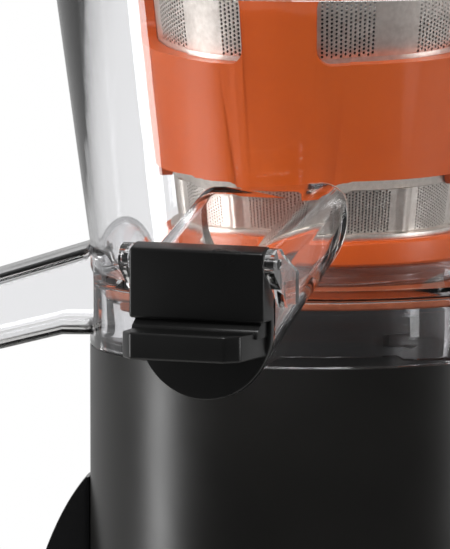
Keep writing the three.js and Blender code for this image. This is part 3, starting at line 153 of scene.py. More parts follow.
def applied(piece):
    """The piece with its modifiers worked into its mesh."""
    shape = piece.evaluated_get(bpy.context.evaluated_depsgraph_get())
    mesh = bpy.data.meshes.new_from_object(shape)
    piece.modifiers.clear()
    piece.data = mesh
    return piece


def combine(piece, other, operation):
    """Joins (UNION) or cuts (DIFFERENCE) piece with other, and removes other."""
    modifier = piece.modifiers.new("combine", "BOOLEAN")
    modifier.operation = operation
    modifier.solver = "EXACT"
    modifier.object = other
    bpy.context.view_layer.update()
    applied(piece)
    bpy.data.objects.remove(other)
    return piece


def edges_softened(piece, width, segments=2, angle=35):
    """A small rounding on every edge sharper than angle."""
    modifier = piece.modifiers.new("soft edges", "BEVEL")
    modifier.width = width
    modifier.segments = segments
    modifier.limit_method = "ANGLE"
    modifier.angle_limit = math.radians(angle)
    bpy.context.view_layer.update()
    return applied(piece)


def place(piece, body, material, *nodes, slot=None, sharp=35):
    """Moves a finished piece into the frame, smooths it, dresses it and lets it ride on its body."""
    piece.data.transform(TO_FRAME)
    piece.data.materials.clear()
    piece.data.materials.append(material)
    piece.data.polygons.foreach_set("use_smooth", [True] * len(piece.data.polygons))
    piece.data.set_sharp_from_angle(angle=math.radians(sharp))
    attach(piece, body)
    if nodes:
        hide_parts(*nodes)
    print(piece.name, "rides on", body, "with", len(piece.data.polygons), "faces")
    return piece


# %% [markdown]
# ## Colours and nodes
# Hex colours are what a designer reads off a swatch, and Blender works in linear light, so one function converts
# them. One more function adds a node with its settings and its links. Patterns are scaled in millimetres: a noise
# whose grain is g mm across has a scale of 1000 / g on Object coordinates, because an object is in metres.

# %% Node helpers
def linear(hex_colour, alpha=1.0):
    """An sRGB hex value as linear RGBA."""
    channels = [int(hex_colour[i:i + 2], 16) / 255 for i in (1, 3, 5)]
    return [c / 12.92 if c <= 0.04045 else ((c + 0.055) / 1.055) ** 2.4 for c in channels] + [alpha]


def grain(millimetres):
    """A texture scale for a pattern whose features are this many millimetres across."""
    return 1 / (millimetres * MM)


def node(tree, kind, settings=None, **inputs):
    """Adds a node. settings are its own properties; inputs are values or sockets for its inputs, by name."""
    made = tree.nodes.new("ShaderNode" + kind)
    for key, value in (settings or {}).items():
        setattr(made, key, value)
    for key, value in inputs.items():
        name = key.replace("_", " ")
        socket = made.inputs[int(name[1:])] if name[1:].isdigit() and name[0] == "i" else made.inputs[name]
        if isinstance(value, bpy.types.NodeSocket):
            tree.links.new(value, socket)
        else:
            socket.default_value = value
    return made


def new_material(name):
    """An empty material with its tree, its output and its Object coordinates."""
    material = bpy.data.materials.new(name)
    material.use_nodes = True
    tree = material.node_tree
    tree.nodes.clear()
    output = tree.nodes.new("ShaderNodeOutputMaterial")
    place_in_object = tree.nodes.new("ShaderNodeTexCoord").outputs["Object"]
    return material, tree, output, place_in_object


# %% [markdown]
# ## Moulded plastics
# The casing is ABS moulded in a spark-eroded steel mould. That leaves a very fine, even grain, which spreads a
# lamp's reflection into the soft vertical band that satin black shows. Two noises do it: one of 0.4 mm for the
# grain's bump, and one of some centimetres for the slight change of gloss that hands and cloths leave.

# %% Moulded plastic
def moulded_plastic(name, colour, worn_colour, roughness, grain_mm=0.4, bump=0.25, coat=0.0):
    material, tree, output, where = new_material(name)
    fine = node(tree, "TexNoise", Vector=where, Scale=grain(grain_mm), Detail=2.0).outputs["Fac"]
    broad = node(tree, "TexNoise", Vector=where, Scale=grain(45), Detail=3.0).outputs["Fac"]
    worn = node(tree, "MapRange", Value=broad, From_Min=0.35, From_Max=0.75).outputs["Result"]
    base = node(tree, "Mix", {"data_type": "RGBA"}, i0=worn, i6=linear(colour), i7=linear(worn_colour)).outputs[2]
    gloss = node(tree, "MapRange", Value=worn, To_Min=roughness * 0.9, To_Max=roughness * 1.12).outputs["Result"]
    relief = node(tree, "Bump", Height=fine, Strength=bump, Distance=0.00004).outputs["Normal"]
    shader = node(tree, "BsdfPrincipled", Base_Color=base, Roughness=gloss, Normal=relief, IOR=1.5,
                  Coat_Weight=coat, Coat_Roughness=0.12)
    tree.links.new(shader.outputs["BSDF"], output.inputs["Surface"])
    return material


satin_black_abs = moulded_plastic("satin_black_abs", "#100F0E", "#161513", 0.32)
gloss_black_abs = moulded_plastic("gloss_black_abs", "#0B0B0C", "#101011", 0.16, grain_mm=1.2, bump=0.05, coat=0.3)
stopper_black_pp = moulded_plastic("stopper_black_pp", "#070707", "#0C0C0C", 0.3, grain_mm=0.5, bump=0.3)
screw_black_pei = moulded_plastic("screw_black_pei", "#161514", "#1C1A18", 0.3, grain_mm=0.8, bump=0.3)
orange_abs = moulded_plastic("orange_abs", "#CC5206", "#D45A0A", 0.4, grain_mm=0.6, bump=0.15)
white_nylon = moulded_plastic("white_nylon", "#D9D5C8", "#E2DED2", 0.42, grain_mm=0.5)
print("moulded plastics ready")

# %% [markdown]
# ## Silicone and rubber
# Liquid silicone fills a mould without grain, so it is smooth but never glossy, and a little light passes under
# its skin. The feet are a harder rubber with a dusty, matt face.

# %% Silicone and rubber
def soft_rubber(name, colour, dusty_colour, roughness, subsurface=0.0):
    material, tree, output, where = new_material(name)
    dust = node(tree, "TexNoise", Vector=where, Scale=grain(2.5), Detail=4.0).outputs["Fac"]
    dusty = node(tree, "MapRange", Value=dust, From_Min=0.4, From_Max=0.8).outputs["Result"]
    base = node(tree, "Mix", {"data_type": "RGBA"}, i0=dusty, i6=linear(colour), i7=linear(dusty_colour)).outputs[2]
    relief = node(tree, "Bump", Height=dust, Strength=0.2, Distance=0.00005).outputs["Normal"]
    shader = node(tree, "BsdfPrincipled", Base_Color=base, Roughness=roughness, Normal=relief, IOR=1.43,
                  Subsurface_Weight=subsurface, Subsurface_Scale=0.002)
    tree.links.new(shader.outputs["BSDF"], output.inputs["Surface"])
    return material


orange_silicone = soft_rubber("orange_silicone", "#8C4524", "#98512E", 0.5, subsurface=0.1)
grey_silicone = soft_rubber("grey_silicone", "#8B8D90", "#9A9C9E", 0.5, subsurface=0.2)
black_rubber = soft_rubber("black_rubber", "#161616", "#242323", 0.75)
print("silicones and rubber ready")

# %% [markdown]
# ## Metals
# The sieve is stainless sheet, etched and electropolished: a bright metal with a soft, slightly warm sheen. The
# shafts are ground, which leaves fine rings round them. Castings are shot blasted. One recipe serves all three:
# a metal whose roughness and bump follow a noise, stretched where the tool has left a direction.

# %% Metals
def worked_metal(name, colour, dark_colour, roughness, grain_mm, stretch=(1, 1, 1), bump=0.2):
    material, tree, output, where = new_material(name)
    drawn = node(tree, "Mapping", Vector=where, Scale=stretch).outputs["Vector"]
    marks = node(tree, "TexNoise", Vector=drawn, Scale=grain(grain_mm), Detail=3.0).outputs["Fac"]
    bright = node(tree, "MapRange", Value=marks, From_Min=0.3, From_Max=0.7).outputs["Result"]
    base = node(tree, "Mix", {"data_type": "RGBA"}, i0=bright, i6=linear(dark_colour), i7=linear(colour)).outputs[2]
    gloss = node(tree, "MapRange", Value=marks, To_Min=roughness * 0.8, To_Max=roughness * 1.2).outputs["Result"]
    relief = node(tree, "Bump", Height=marks, Strength=bump, Distance=0.00003).outputs["Normal"]
    shader = node(tree, "BsdfPrincipled", Base_Color=base, Metallic=1.0, Roughness=gloss, Normal=relief)
    tree.links.new(shader.outputs["BSDF"], output.inputs["Surface"])
    return material


RINGS = (0.15, 0.15, 3)  # long round the piece and short along its axis
sieve_steel = worked_metal("etched_stainless", "#EDE7DF", "#DCD5CC", 0.36, 1.5)
ground_steel = worked_metal("ground_steel", "#C3C3C4", "#A4A4A6", 0.28, 0.5, RINGS, 0.4)
zinc_steel = worked_metal("zinc_plated_steel", "#8E8F92", "#77787B", 0.35, 0.8)
blasted_alloy = worked_metal("shot_blasted_casting", "#A2A4A6", "#86888A", 0.5, 0.6, bump=0.6)
lamination_steel = worked_metal("varnished_laminations", "#6C6D70", "#4A4B4E", 0.45, 0.5, RINGS, 0.8)
enamelled_copper = worked_metal("enamelled_copper", "#B5652F", "#7E4320", 0.35, 0.7, RINGS, 0.9)
sintered_bronze = worked_metal("sintered_bronze", "#9B7A48", "#7D6038", 0.5, 0.4, bump=0.5)
print("metals ready")

# %% [markdown]
# ## Clear copolyester
# The bowl and the lid are injection moulded in a clear copolyester. It bends light a little more than acrylic
# does, and its surface copies a polished mould, so it is sharp but not perfect: a long, weak ripple bends what is
# seen through it. The walls are real walls with an inside and an outside, so the refraction comes from the shape.

# %% Clear plastic
def clear_plastic(name, tint, ior, ripple_mm, ripple):
    material, tree, output, where = new_material(name)
    wave = node(tree, "TexNoise", Vector=where, Scale=grain(ripple_mm), Detail=1.0).outputs["Fac"]
    hazy = node(tree, "TexNoise", Vector=where, Scale=grain(30), Detail=3.0).outputs["Fac"]
    gloss = node(tree, "MapRange", Value=hazy, To_Min=0.0, To_Max=0.05).outputs["Result"]
    relief = node(tree, "Bump", Height=wave, Strength=ripple, Distance=0.0003).outputs["Normal"]
    shader = node(tree, "BsdfPrincipled", Base_Color=linear(tint), Roughness=gloss, Normal=relief, IOR=ior,
                  Transmission_Weight=1.0)
    through = node(tree, "BsdfTransparent", Color=linear(tint))
    shadow = node(tree, "LightPath").outputs["Is Shadow Ray"]
    mixed = node(tree, "MixShader", i0=shadow, i1=shader.outputs["BSDF"], i2=through.outputs["BSDF"])
    tree.links.new(mixed.outputs["Shader"], output.inputs["Surface"])
    return material


bowl_copolyester = clear_plastic("clear_copolyester", "#FBFBFC", 1.5, 14, 0.12)
lid_copolyester = clear_plastic("clear_copolyester_lid", "#FBFBFC", 1.5, 14, 0.12)
print(len(bpy.data.materials), "materials in the file")

# %% [markdown]
# ## The base
# The front of the base is one deep drawn-looking ABS cylinder with a flat shoulder that the bowl stands on. A
# turned outline gives it, and rounding the outline's corners before the spin gives the soft edge that catches a
# thin line of light. A shadow groove just above the bottom cover shows where the two mouldings meet.

# %% Base housing
ROUND = 160  # steps of the largest turned pieces
BASE_R = extent("base_housing")[1].x
BASE_BOTTOM = extent("base_housing")[0].z
NECK_R = 40.0
WALL = 3.0
GROOVE = 0.8
bm = spun([(NECK_R - 8, -WALL), (NECK_R - 8, 0), (BASE_R, 0), (BASE_R, BASE_BOTTOM + 9),
           (BASE_R - GROOVE, BASE_BOTTOM + 8.2), (BASE_R - GROOVE, BASE_BOTTOM + 7), (BASE_R, BASE_BOTTOM + 6.2),
           (BASE_R, BASE_BOTTOM), (BASE_R - WALL, BASE_BOTTOM), (BASE_R - WALL, -WALL)],
          closed=True, rounding=0.35, steps=ROUND)
place(to_object(bm, "front_housing"), "base", satin_black_abs, "base_housing", slot="satin_black")

# %% [markdown]
# The rear housing is the polished bulge behind the cylinder that makes room for the fan and the mains inlet. It
# is a body of revolution about the same axis, cut by two upright planes so that it leaves the front free. The
# operators do the same as the mould: spin the outline, slice it with bisect_plane, and fill the two flat cheeks.

# %% Rear housing
rear_low, rear_high = extent("rear_housing")
FRONT_HALF = math.radians(67)
rear_r = rear_high.x
rear_top = rear_high.z
widest = 40 - RIM  # the widest level is 40 mm above the table
lip = BASE_R + 1.3
cut = 0.9  # how much of the ellipse's quarter the wall uses
cut_root = math.sqrt(1 - cut * cut)
centre_r = (lip - rear_r * cut_root) / (1 - cut_root)
curve = [(rear_r, rear_low.z)]
for i in range(25):
    t = math.sin(i / 24 * math.pi / 2)
    curve.append((centre_r + (rear_r - centre_r) * math.sqrt(1 - (cut * t) ** 2), widest + (rear_top - widest) * t))
inner = BASE_R + 0.3
bm = spun([(inner, rear_low.z)] + curve + [(inner, rear_top)], closed=True, steps=144)
for side in (-1, 1):
    across = Vector((math.cos(FRONT_HALF) * side, math.sin(FRONT_HALF), 0))
    if side < 0:
        right_half = bm.copy()
    keep = bm if side > 0 else right_half
    bmesh.ops.bisect_plane(keep, geom=whole(keep), plane_co=(0, 0, 0), plane_no=(side, 0, 0), clear_inner=True)
    bmesh.ops.bisect_plane(keep, geom=whole(keep), plane_co=(0, 0, 0), plane_no=across, clear_inner=True)
    cheek = [e for e in keep.edges if e.is_boundary and abs(e.verts[0].co.dot(across)) < 1e-3
             and abs(e.verts[1].co.dot(across)) < 1e-3]
    bmesh.ops.contextual_create(keep, geom=cheek)
added(bm, right_half)
bmesh.ops.remove_doubles(bm, verts=bm.verts, dist=1e-3)
rear = edges_softened(to_object(bm, "rear_shell"), 1.2, 3, 40)
place(rear, "base", gloss_black_abs, "rear_housing", slot="gloss_black", sharp=50)

# %% [markdown]
# The neck is the round pedestal that the bowl drops over. Its three lugs hold the bowl's bayonet. A lug is a
# rounded block, made by a cube and a bevel and turned to its place.

# %% Neck and its lugs
NECK_TOP = extent("bayonet_neck")[1].z
bm = spun([(12, NECK_TOP - WALL), (12, NECK_TOP), (NECK_R, NECK_TOP), (NECK_R, 0), (NECK_R - WALL, 0),
           (NECK_R - WALL, NECK_TOP - WALL)], closed=True, rounding=0.6)
for i in range(3):
    turn = Matrix.Rotation(math.pi / 2 + i * TAU / 3, 4, "Z")
    size = Matrix.Diagonal((4, 11, 3.6, 1))
    made = bmesh.ops.create_cube(bm, size=1, matrix=turn @ Matrix.Translation((NECK_R + 0.1, 0, 7)) @ size)
    edges = list({e for v in made["verts"] for e in v.link_edges})
    eased(bm, edges, 0.5, 2)
place(to_object(bm, "bayonet_pedestal"), "base", satin_black_abs, "bayonet_neck", slot="satin_black")

# %% [markdown]
# ## Cover, feet, knob and gland
# These are small turned pieces. The knob has a grip bar across it and a ring of fine flutes, which are drawn on
# one flat circle, pulled in at every second point, and then extruded.

# %% Bottom cover and feet
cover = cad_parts["bottom_cover"]
cover.data.materials.clear()
cover.data.materials.append(satin_black_abs)
for name in [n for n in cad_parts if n.startswith("foot_")]:
    low, high = extent(name)
    x, y = (low.x + high.x) / 2, (low.y + high.y) / 2
    r = (high.x - low.x) / 2
    bm = spun([(0, low.z), (r - 2.6, low.z), (r - 2.6, low.z + 0.5), (r - 1.6, low.z + 0.5), (r - 1.6, low.z),
               (r - 0.4, low.z), (r, low.z + 1.2), (r, high.z), (0, high.z)], rounding=0.2, steps=48)
    foot = to_object(moved(bm, (x, y, 0)), name.replace("foot", "rubber_foot"))
    place(foot, "base", black_rubber, name, slot="black_rubber")

# %% Control knob
knob_low, knob_high = extent("control_knob")
knob_z = (knob_low.z + knob_high.z) / 2
knob_r = (knob_high.x - knob_low.x) / 2
flutes = 48
bm = bmesh.new()
rim_verts = bmesh.ops.create_circle(bm, cap_ends=True, segments=2 * flutes, radius=knob_r)["verts"]
for i, v in enumerate(rim_verts):
    if i % 2:
        v.co *= 1 - 0.45 / knob_r
depth = knob_high.y - knob_low.y - 2
top_verts = pulled(bm, bm.faces[:], (0, 0, depth - 1))
top_face = [f for f in bm.faces if all(v in top_verts for v in f.verts)]
bmesh.ops.inset_region(bm, faces=top_face, thickness=1.2, depth=0)
bmesh.ops.translate(bm, verts=top_face[0].verts, vec=(0, 0, 1))
bmesh.ops.inset_region(bm, faces=top_face, thickness=0.8, depth=0)
bmesh.ops.inset_region(bm, faces=top_face, thickness=0.3, depth=-0.4)
bar = bmesh.ops.create_cube(bm, size=1, matrix=Matrix.Translation((0, 0, depth)) @ Matrix.Diagonal(
    (4.4, 2 * knob_r - 5, 3.6, 1)))
edges = list({e for v in bar["verts"] for e in v.link_edges})
eased(bm, edges, 0.7, 3)
upright = Matrix.Translation((0, knob_high.y, knob_z)) @ Matrix.Rotation(math.pi / 2, 4, "X")
bmesh.ops.transform(bm, matrix=upright, verts=bm.verts)
place(to_object(bm, "speed_knob"), "knob", gloss_black_abs, "control_knob", slot="gloss_black")

# %% Cord gland
gland_low, gland_high = extent("cord_gland")
gland_z = (gland_low.z + gland_high.z) / 2
length = gland_high.y - gland_low.y
bm = spun([(3.6, 0), (8, 0), (8, length - 2.8), (11, length - 2.8), (11, length - 1), (9, length), (3.6, length)],
          closed=True, rounding=0.3, steps=64)
backwards = Matrix.Translation((0, gland_low.y, gland_z)) @ Matrix.Rotation(-math.pi / 2, 4, "X")
bmesh.ops.transform(bm, matrix=backwards, verts=bm.verts)
place(to_object(bm, "rubber_gland"), "base", black_rubber, "cord_gland", slot="black_rubber")

# %% [markdown]
# ## The juice bowl
# The bowl is one clear moulding: a straight skirt that covers the neck, a flared wall above it, a floor with a
# collar and a hub below, a spout in front and a pulp chute at the side. It starts as a turned shell. Its outline
# is closed, so the wall has both faces. The spout and the chute are lofts between loops, and Boolean modifiers
# join their skins to the shell and cut their channels, as the mould's cores do.

# %% Turned shell
WALL_T = 2.6
SKIRT_TOP = 31.9
FLARE = 0.136
BOWL_H = extent("juice_bowl")[1].z
bowl_top_r = BASE_R + FLARE * (BOWL_H - SKIRT_TOP)
FLOOR_EDGE, FLOOR_SEAT, FLOOR_T = 23.0, 28.3, 3.2
DISH_R, COLLAR_R = 51.0, 46.0
HUB_R, HUB_TOP = 17.0, 34.0
inside_r = BASE_R - WALL_T
skirt_r = inside_r - 0.8
shell_outline = [
    (BASE_R, 0), (BASE_R, SKIRT_TOP), (bowl_top_r, BOWL_H), (bowl_top_r - WALL_T, BOWL_H), (inside_r, SKIRT_TOP),
    (inside_r, FLOOR_EDGE), (DISH_R, FLOOR_SEAT), (HUB_R, FLOOR_SEAT), (HUB_R, HUB_TOP), (HUB_R - WALL_T, HUB_TOP),
    (HUB_R - WALL_T, FLOOR_SEAT - FLOOR_T), (COLLAR_R - WALL_T, FLOOR_SEAT - FLOOR_T), (COLLAR_R - WALL_T, 2),
    (COLLAR_R, 2), (COLLAR_R, FLOOR_SEAT - FLOOR_T), (skirt_r - 12, FLOOR_EDGE - FLOOR_T),
    (skirt_r, FLOOR_EDGE - FLOOR_T), (skirt_r, 0)]
bowl = to_object(spun(shell_outline, closed=True, rounding=0.7, steps=ROUND), "clear_bowl")
print("bowl shell", len(bowl.data.polygons), "faces")


# %% [markdown]
# A section of the spout is half a circle below and a flat roof with rounded corners above. The same section,
# smaller and lower, closes the mouth. Each section is a ring of vertices; the loft between them is what the
# bridge_loops operator makes, and both ends are then filled.

# %% Spout
SPOUT_X = 13.0
ROOT_Y, ROOT_HALF, ROOT_SILL, ROOT_ROOF = 60.0, 23.0, 25.1, 59.3
MOUTH_Y, MOUTH_HALF, MOUTH_SILL, MOUTH_ROOF = 114.8, 21.2, -3.0, 40.3


def arched(half, bottom, top, corner, steps):
    """Half a circle below and a flat roof with rounded corners above, as [across, height] points."""
    quarter_turn = math.pi / 2
    return (arc(0, bottom + half, half, math.pi, math.pi, 4 * steps)
            + arc(half - corner, top - corner, corner, 0, quarter_turn, steps)
            + arc(corner - half, top - corner, corner, quarter_turn, quarter_turn, steps))


def spout_section(reach, inset):
    """The points of the spout's section at this reach along -Y, shrunk by inset."""
    t = (reach - ROOT_Y) / (MOUTH_Y - ROOT_Y)
    half = ROOT_HALF + (MOUTH_HALF - ROOT_HALF) * t - inset
    bottom = ROOT_SILL + (MOUTH_SILL - ROOT_SILL) * t + inset
    top = ROOT_ROOF + (MOUTH_ROOF - ROOT_ROOF) * t - inset
    return arched(half, bottom, top, max(1.0, 8.0 - inset), 8)


def upright_ring(bm, reach, points):
    """[across, height] points as a ring of edges square to the spout."""
    verts = [bm.verts.new((SPOUT_X + x, -reach, z)) for x, z in points]
    return [bm.edges.new((a, b)) for a, b in zip(verts, verts[1:] + verts[:1])]


def spout_loft(name, reaches, inset):
    """A closed solid through the spout's sections at these reaches."""
    bm = bmesh.new()
    loops = [upright_ring(bm, r, spout_section(r, inset)) for r in reaches]
    for a, b in zip(loops, loops[1:]):
        bmesh.ops.bridge_loops(bm, edges=a + b)
    for end in (loops[0], loops[-1]):
        bmesh.ops.contextual_create(bm, geom=end)
    bmesh.ops.remove_doubles(bm, verts=bm.verts, dist=1e-4)
    return to_object(bm, name)


room = to_object(spun([(0, FLOOR_EDGE), (inside_r, FLOOR_EDGE), (inside_r, SKIRT_TOP),
                       (bowl_top_r - WALL_T, BOWL_H), (0, BOWL_H)], steps=ROUND), "room")
skin = combine(spout_loft("skin", (ROOT_Y, 80, 98, MOUTH_Y), 0), room, "DIFFERENCE")
under_floor = to_object(spun([(0, -20), (inside_r + 1, -20), (inside_r + 1, FLOOR_EDGE), (DISH_R, FLOOR_SEAT),
                              (0, FLOOR_SEAT)], steps=96), "under_floor")
channel = combine(spout_loft("channel", (ROOT_Y - 6, 80, 98, MOUTH_Y + 1), WALL_T), under_floor, "DIFFERENCE")
combine(bowl, skin, "UNION")
print("bowl with spout skin", len(bowl.data.polygons), "faces")

# %% [markdown]
# Where the spout leaves the bowl the moulding has a round bead, which shows as a clear line all round the root.
# The bead follows the curve in which the two skins meet. Each point of the spout's section slides along the
# spout until it lies on the bowl's wall, and a small circle is set there square to the curve.

# %% Bead round the spout's root
BEAD_R, BEAD_INSET = 0.9, 0.8


def on_the_wall(index):
    """The point at which one line, just under the spout's skin, meets the bowl's outer wall."""
    near, far = ROOT_Y, MOUTH_Y
    for _ in range(30):
        reach = (near + far) / 2
        x, z = spout_section(reach, BEAD_INSET)[index]
        if math.hypot(SPOUT_X + x, reach) < BASE_R + FLARE * max(0.0, z - SKIRT_TOP):
            near = reach
        else:
            far = reach
    return Vector((SPOUT_X + x, -reach, z))


curve = [on_the_wall(i) for i in range(len(spout_section(ROOT_Y, BEAD_INSET)))]
bm = bmesh.new()
rings = []
for before, point, after in zip(curve[-1:] + curve[:-1], curve, curve[1:] + curve[:1]):
    along = (after - before).normalized()
    outwards = Vector((point.x, point.y, 0))
    outwards = (outwards - along * outwards.dot(along)).normalized()
    facing_curve = Matrix((along.cross(outwards), outwards, along)).transposed().to_4x4()
    made = bmesh.ops.create_circle(bm, segments=12, radius=BEAD_R,
                                   matrix=Matrix.Translation(point) @ facing_curve)
    rings.append(list({e for v in made["verts"] for e in v.link_edges}))
for a, b in zip(rings, rings[1:] + rings[:1]):
    bmesh.ops.bridge_loops(bm, edges=a + b)
combine(bowl, to_object(bm, "bead"), "UNION")
print("bowl with bead", len(bowl.data.polygons), "faces")

# %% [markdown]
# Two ears stand beside the mouth and carry the stopper's pin. Each is a rounded plate: a disc round the pin hole
# and a bar back to the spout's side.

# %% Hinge ears
HINGE_Y, HINGE_Z = 120.5, 37.5
CAP_HALF, CAP_GAP = 21.5, 0.3
EAR_T, EAR_R = 3.0, 4.6
PIN_R, PIN_HOLE_R = 1.5, 1.7
EAR_X = {side: SPOUT_X + side * (CAP_HALF + CAP_GAP + EAR_T / 2) for side in (-1, 1)}


def rod(bm, x, radius, length, segments=32):
    """A round bar on the hinge's axis with its middle at x, put into bm."""
    lying = Matrix.Translation((x, -HINGE_Y, HINGE_Z)) @ Matrix.Rotation(math.pi / 2, 4, "Y")
    bmesh.ops.create_cone(bm, cap_ends=True, segments=segments, radius1=radius, radius2=radius, depth=length,
                          matrix=lying)
    return bm


bm = bmesh.new()
for ear_x in EAR_X.values():
    rod(bm, ear_x, EAR_R, EAR_T, 40)
ears = to_object(bm, "ears")
for side, ear_x in EAR_X.items():
    bm = bmesh.new()
    corners = [(HINGE_Y - 15, 25), (MOUTH_Y - 1, 24), (HINGE_Y + 3.9, 35.2), (HINGE_Y, 42.0), (HINGE_Y - 15, 34)]
    face = bm.faces.new([bm.verts.new((ear_x - EAR_T / 2, -y, z)) for y, z in corners])
    pulled(bm, [face], (EAR_T, 0, 0))
    combine(ears, to_object(bm, "ear_plate"), "UNION")
    bm = bmesh.new()
    overlap = 1.4
    middle = Matrix.Translation((ear_x - side * overlap, -(MOUTH_Y - 5.3), 28))
    bmesh.ops.create_cube(bm, size=1, matrix=middle @ Matrix.Diagonal((EAR_T + 2 * overlap, 8, 7, 1)))
    combine(ears, to_object(bm, "ear_root"), "UNION")
combine(bowl, ears, "UNION")
combine(bowl, to_object(rod(bmesh.new(), SPOUT_X, PIN_HOLE_R, 80), "pin_hole"), "DIFFERENCE")
combine(bowl, channel, "DIFFERENCE")
print("bowl with open spout", len(bowl.data.polygons), "faces")

# %% [markdown]
# The pulp chute is a wide duct whose roof falls faster than its floor. Its outline in the upright plane is drawn
# once for the outside and once, shrunk by the wall, for the inside, and each is given its width. Rounding the
# long edges with a bevel before the joining gives the soft tube that shows against the light.

# %% Pulp chute
CHUTE_ANGLE = math.radians(200)
CHUTE_TURN = Matrix.Rotation(CHUTE_ANGLE, 4, "Z")
CHUTE_HALF, CHUTE_WALL, CHUTE_END = 17.0, 2.8, 112.0
ROOF_START, ROOF_FALL = 30.6, 0.305
SILL_START, SILL_FALL, SILL_LEVEL = 3.2, 0.244, BASE_R + 8
MID_HEIGHT = 14


def chute_solid(name, inset, start, end, edge_radius):
    """The chute's body from start to end, shrunk by inset, pointing along +X before it is turned to its place."""
    def roof(reach):
        return ROOF_START - ROOF_FALL * max(0.0, reach - BASE_R) - inset

    def sill(reach):
        return SILL_START - SILL_FALL * max(0.0, reach - SILL_LEVEL) + inset

    ceiling = min(roof(start), FLOOR_EDGE - inset)
    corners = [(start, sill(start)), (SILL_LEVEL, sill(SILL_LEVEL)), (end, sill(end)), (end, roof(end)),
               (BASE_R, roof(BASE_R)), (BASE_R - WALL_T - 1, ceiling), (start, ceiling)]
    half = CHUTE_HALF - inset
    bm = bmesh.new()
    face = bm.faces.new([bm.verts.new((x, -half, z)) for x, z in corners])
    pulled(bm, [face], (0, 2 * half, 0))
    bmesh.ops.recalc_face_normals(bm, faces=bm.faces)
    long_edges = [e for e in bm.edges if abs(e.verts[0].co.y - e.verts[1].co.y) < 1e-6
                  and abs(e.verts[0].co.x - e.verts[1].co.x) > 1]
    lower = [e for e in long_edges if all(v.co.z < MID_HEIGHT and v.co.x > start - 1 for v in e.verts)]
    upper = [e for e in long_edges if all(v.co.z > MID_HEIGHT for v in e.verts)]
    eased(bm, lower, 2.2 * edge_radius, 8)
    eased(bm, [e for e in upper if e.is_valid], edge_radius, 5)
    bmesh.ops.transform(bm, matrix=CHUTE_TURN, verts=bm.verts)
    return to_object(bm, name)


combine(bowl, chute_solid("duct", 0, COLLAR_R - 1, CHUTE_END, 3.4), "UNION")
combine(bowl, chute_solid("duct_bore", CHUTE_WALL, COLLAR_R + 1, CHUTE_END + 2, 2.0), "DIFFERENCE")
print("bowl with chute", len(bowl.data.polygons), "faces")

# %% [markdown]
# Inside the bowl a vault covers the way from the strainer to the chute, and inside the skirt two shallow pads
# give the bayonet its key: a long rectangular band and a rounded apron. They are drawn flat, with arc length
# across and height up, and then wrapped on the skirt.

# %% Vault over the chute
def dome(name, *half_axes):
    """An ellipsoid over the chute's inner end."""
    bm = bmesh.new()
    bmesh.ops.create_uvsphere(bm, u_segments=48, v_segments=24, radius=1)
    middle = CHUTE_TURN @ Matrix.Translation((59.5, 0, FLOOR_EDGE - 2))
    bmesh.ops.transform(bm, matrix=middle @ Matrix.Diagonal((*half_axes, 1)), verts=bm.verts)
    return to_object(bm, name)


vault = combine(dome("vault", 10.6, 15, 17), dome("vault_room", 8.8, 13.2, 15.2), "DIFFERENCE")
bm = bmesh.new()
bmesh.ops.create_cone(bm, cap_ends=True, segments=96, radius1=90, radius2=90, depth=40,
                      matrix=Matrix.Translation((0, 0, FLOOR_EDGE - 0.6 - 20)))
combine(vault, to_object(bm, "below_vault"), "DIFFERENCE")
combine(bowl, vault, "UNION")


# %% Pads inside the skirt
def skirt_pad(name, start_deg, end_deg, low, high, corner, thick):
    """A raised pad on the skirt's inside, from one angle to the other, with its lower corners rounded."""
    start, end = math.radians(start_deg) * skirt_r, math.radians(end_deg) * skirt_r
    bm = bmesh.new()
    verts = [bm.verts.new(p) for p in ((start, 0, low), (end, 0, low), (end, 0, high), (start, 0, high))]
    bm.faces.new(verts)
    eased(bm, verts[:2], corner, 8, "VERTICES")
    for i in range(1, 24):
        at = start + (end - start) * i / 24
        bmesh.ops.bisect_plane(bm, geom=whole(bm), plane_co=(at, 0, 0), plane_no=(1, 0, 0))
    pulled(bm, bm.faces[:], (0, thick + 0.8, 0))
    for v in bm.verts:
        angle, r = v.co.x / skirt_r, skirt_r + 0.8 - v.co.y
        v.co = Vector((r * math.cos(angle), r * math.sin(angle), v.co.z))
    return to_object(bm, name)


combine(bowl, skirt_pad("band", -69.7, -20, 7, 16, 0.6, 0.9), "UNION")
combine(bowl, skirt_pad("apron", -79, -44.6, 2.3, 18, 6, 0.5), "UNION")
bowl_mesh = bmesh.new()
bowl_mesh.from_mesh(bowl.data)
bmesh.ops.remove_doubles(bowl_mesh, verts=bowl_mesh.verts, dist=0.005)
bmesh.ops.dissolve_degenerate(bowl_mesh, edges=bowl_mesh.edges, dist=0.005)
open_edges = sum(1 for e in bowl_mesh.edges if not e.is_manifold)
bowl_mesh.to_mesh(bowl.data)
bowl_mesh.free()
place(bowl, "bowl", bowl_copolyester, "juice_bowl", slot="clear_plastic", sharp=28)
print("open edges in the bowl:", open_edges)

# %% [markdown]
# ## Seals
# Soft rings are turned pieces too. The skirt's gasket lies under the bowl's floor and stops at the chute, so its
# outline is spun through part of a turn and its two ends are filled.

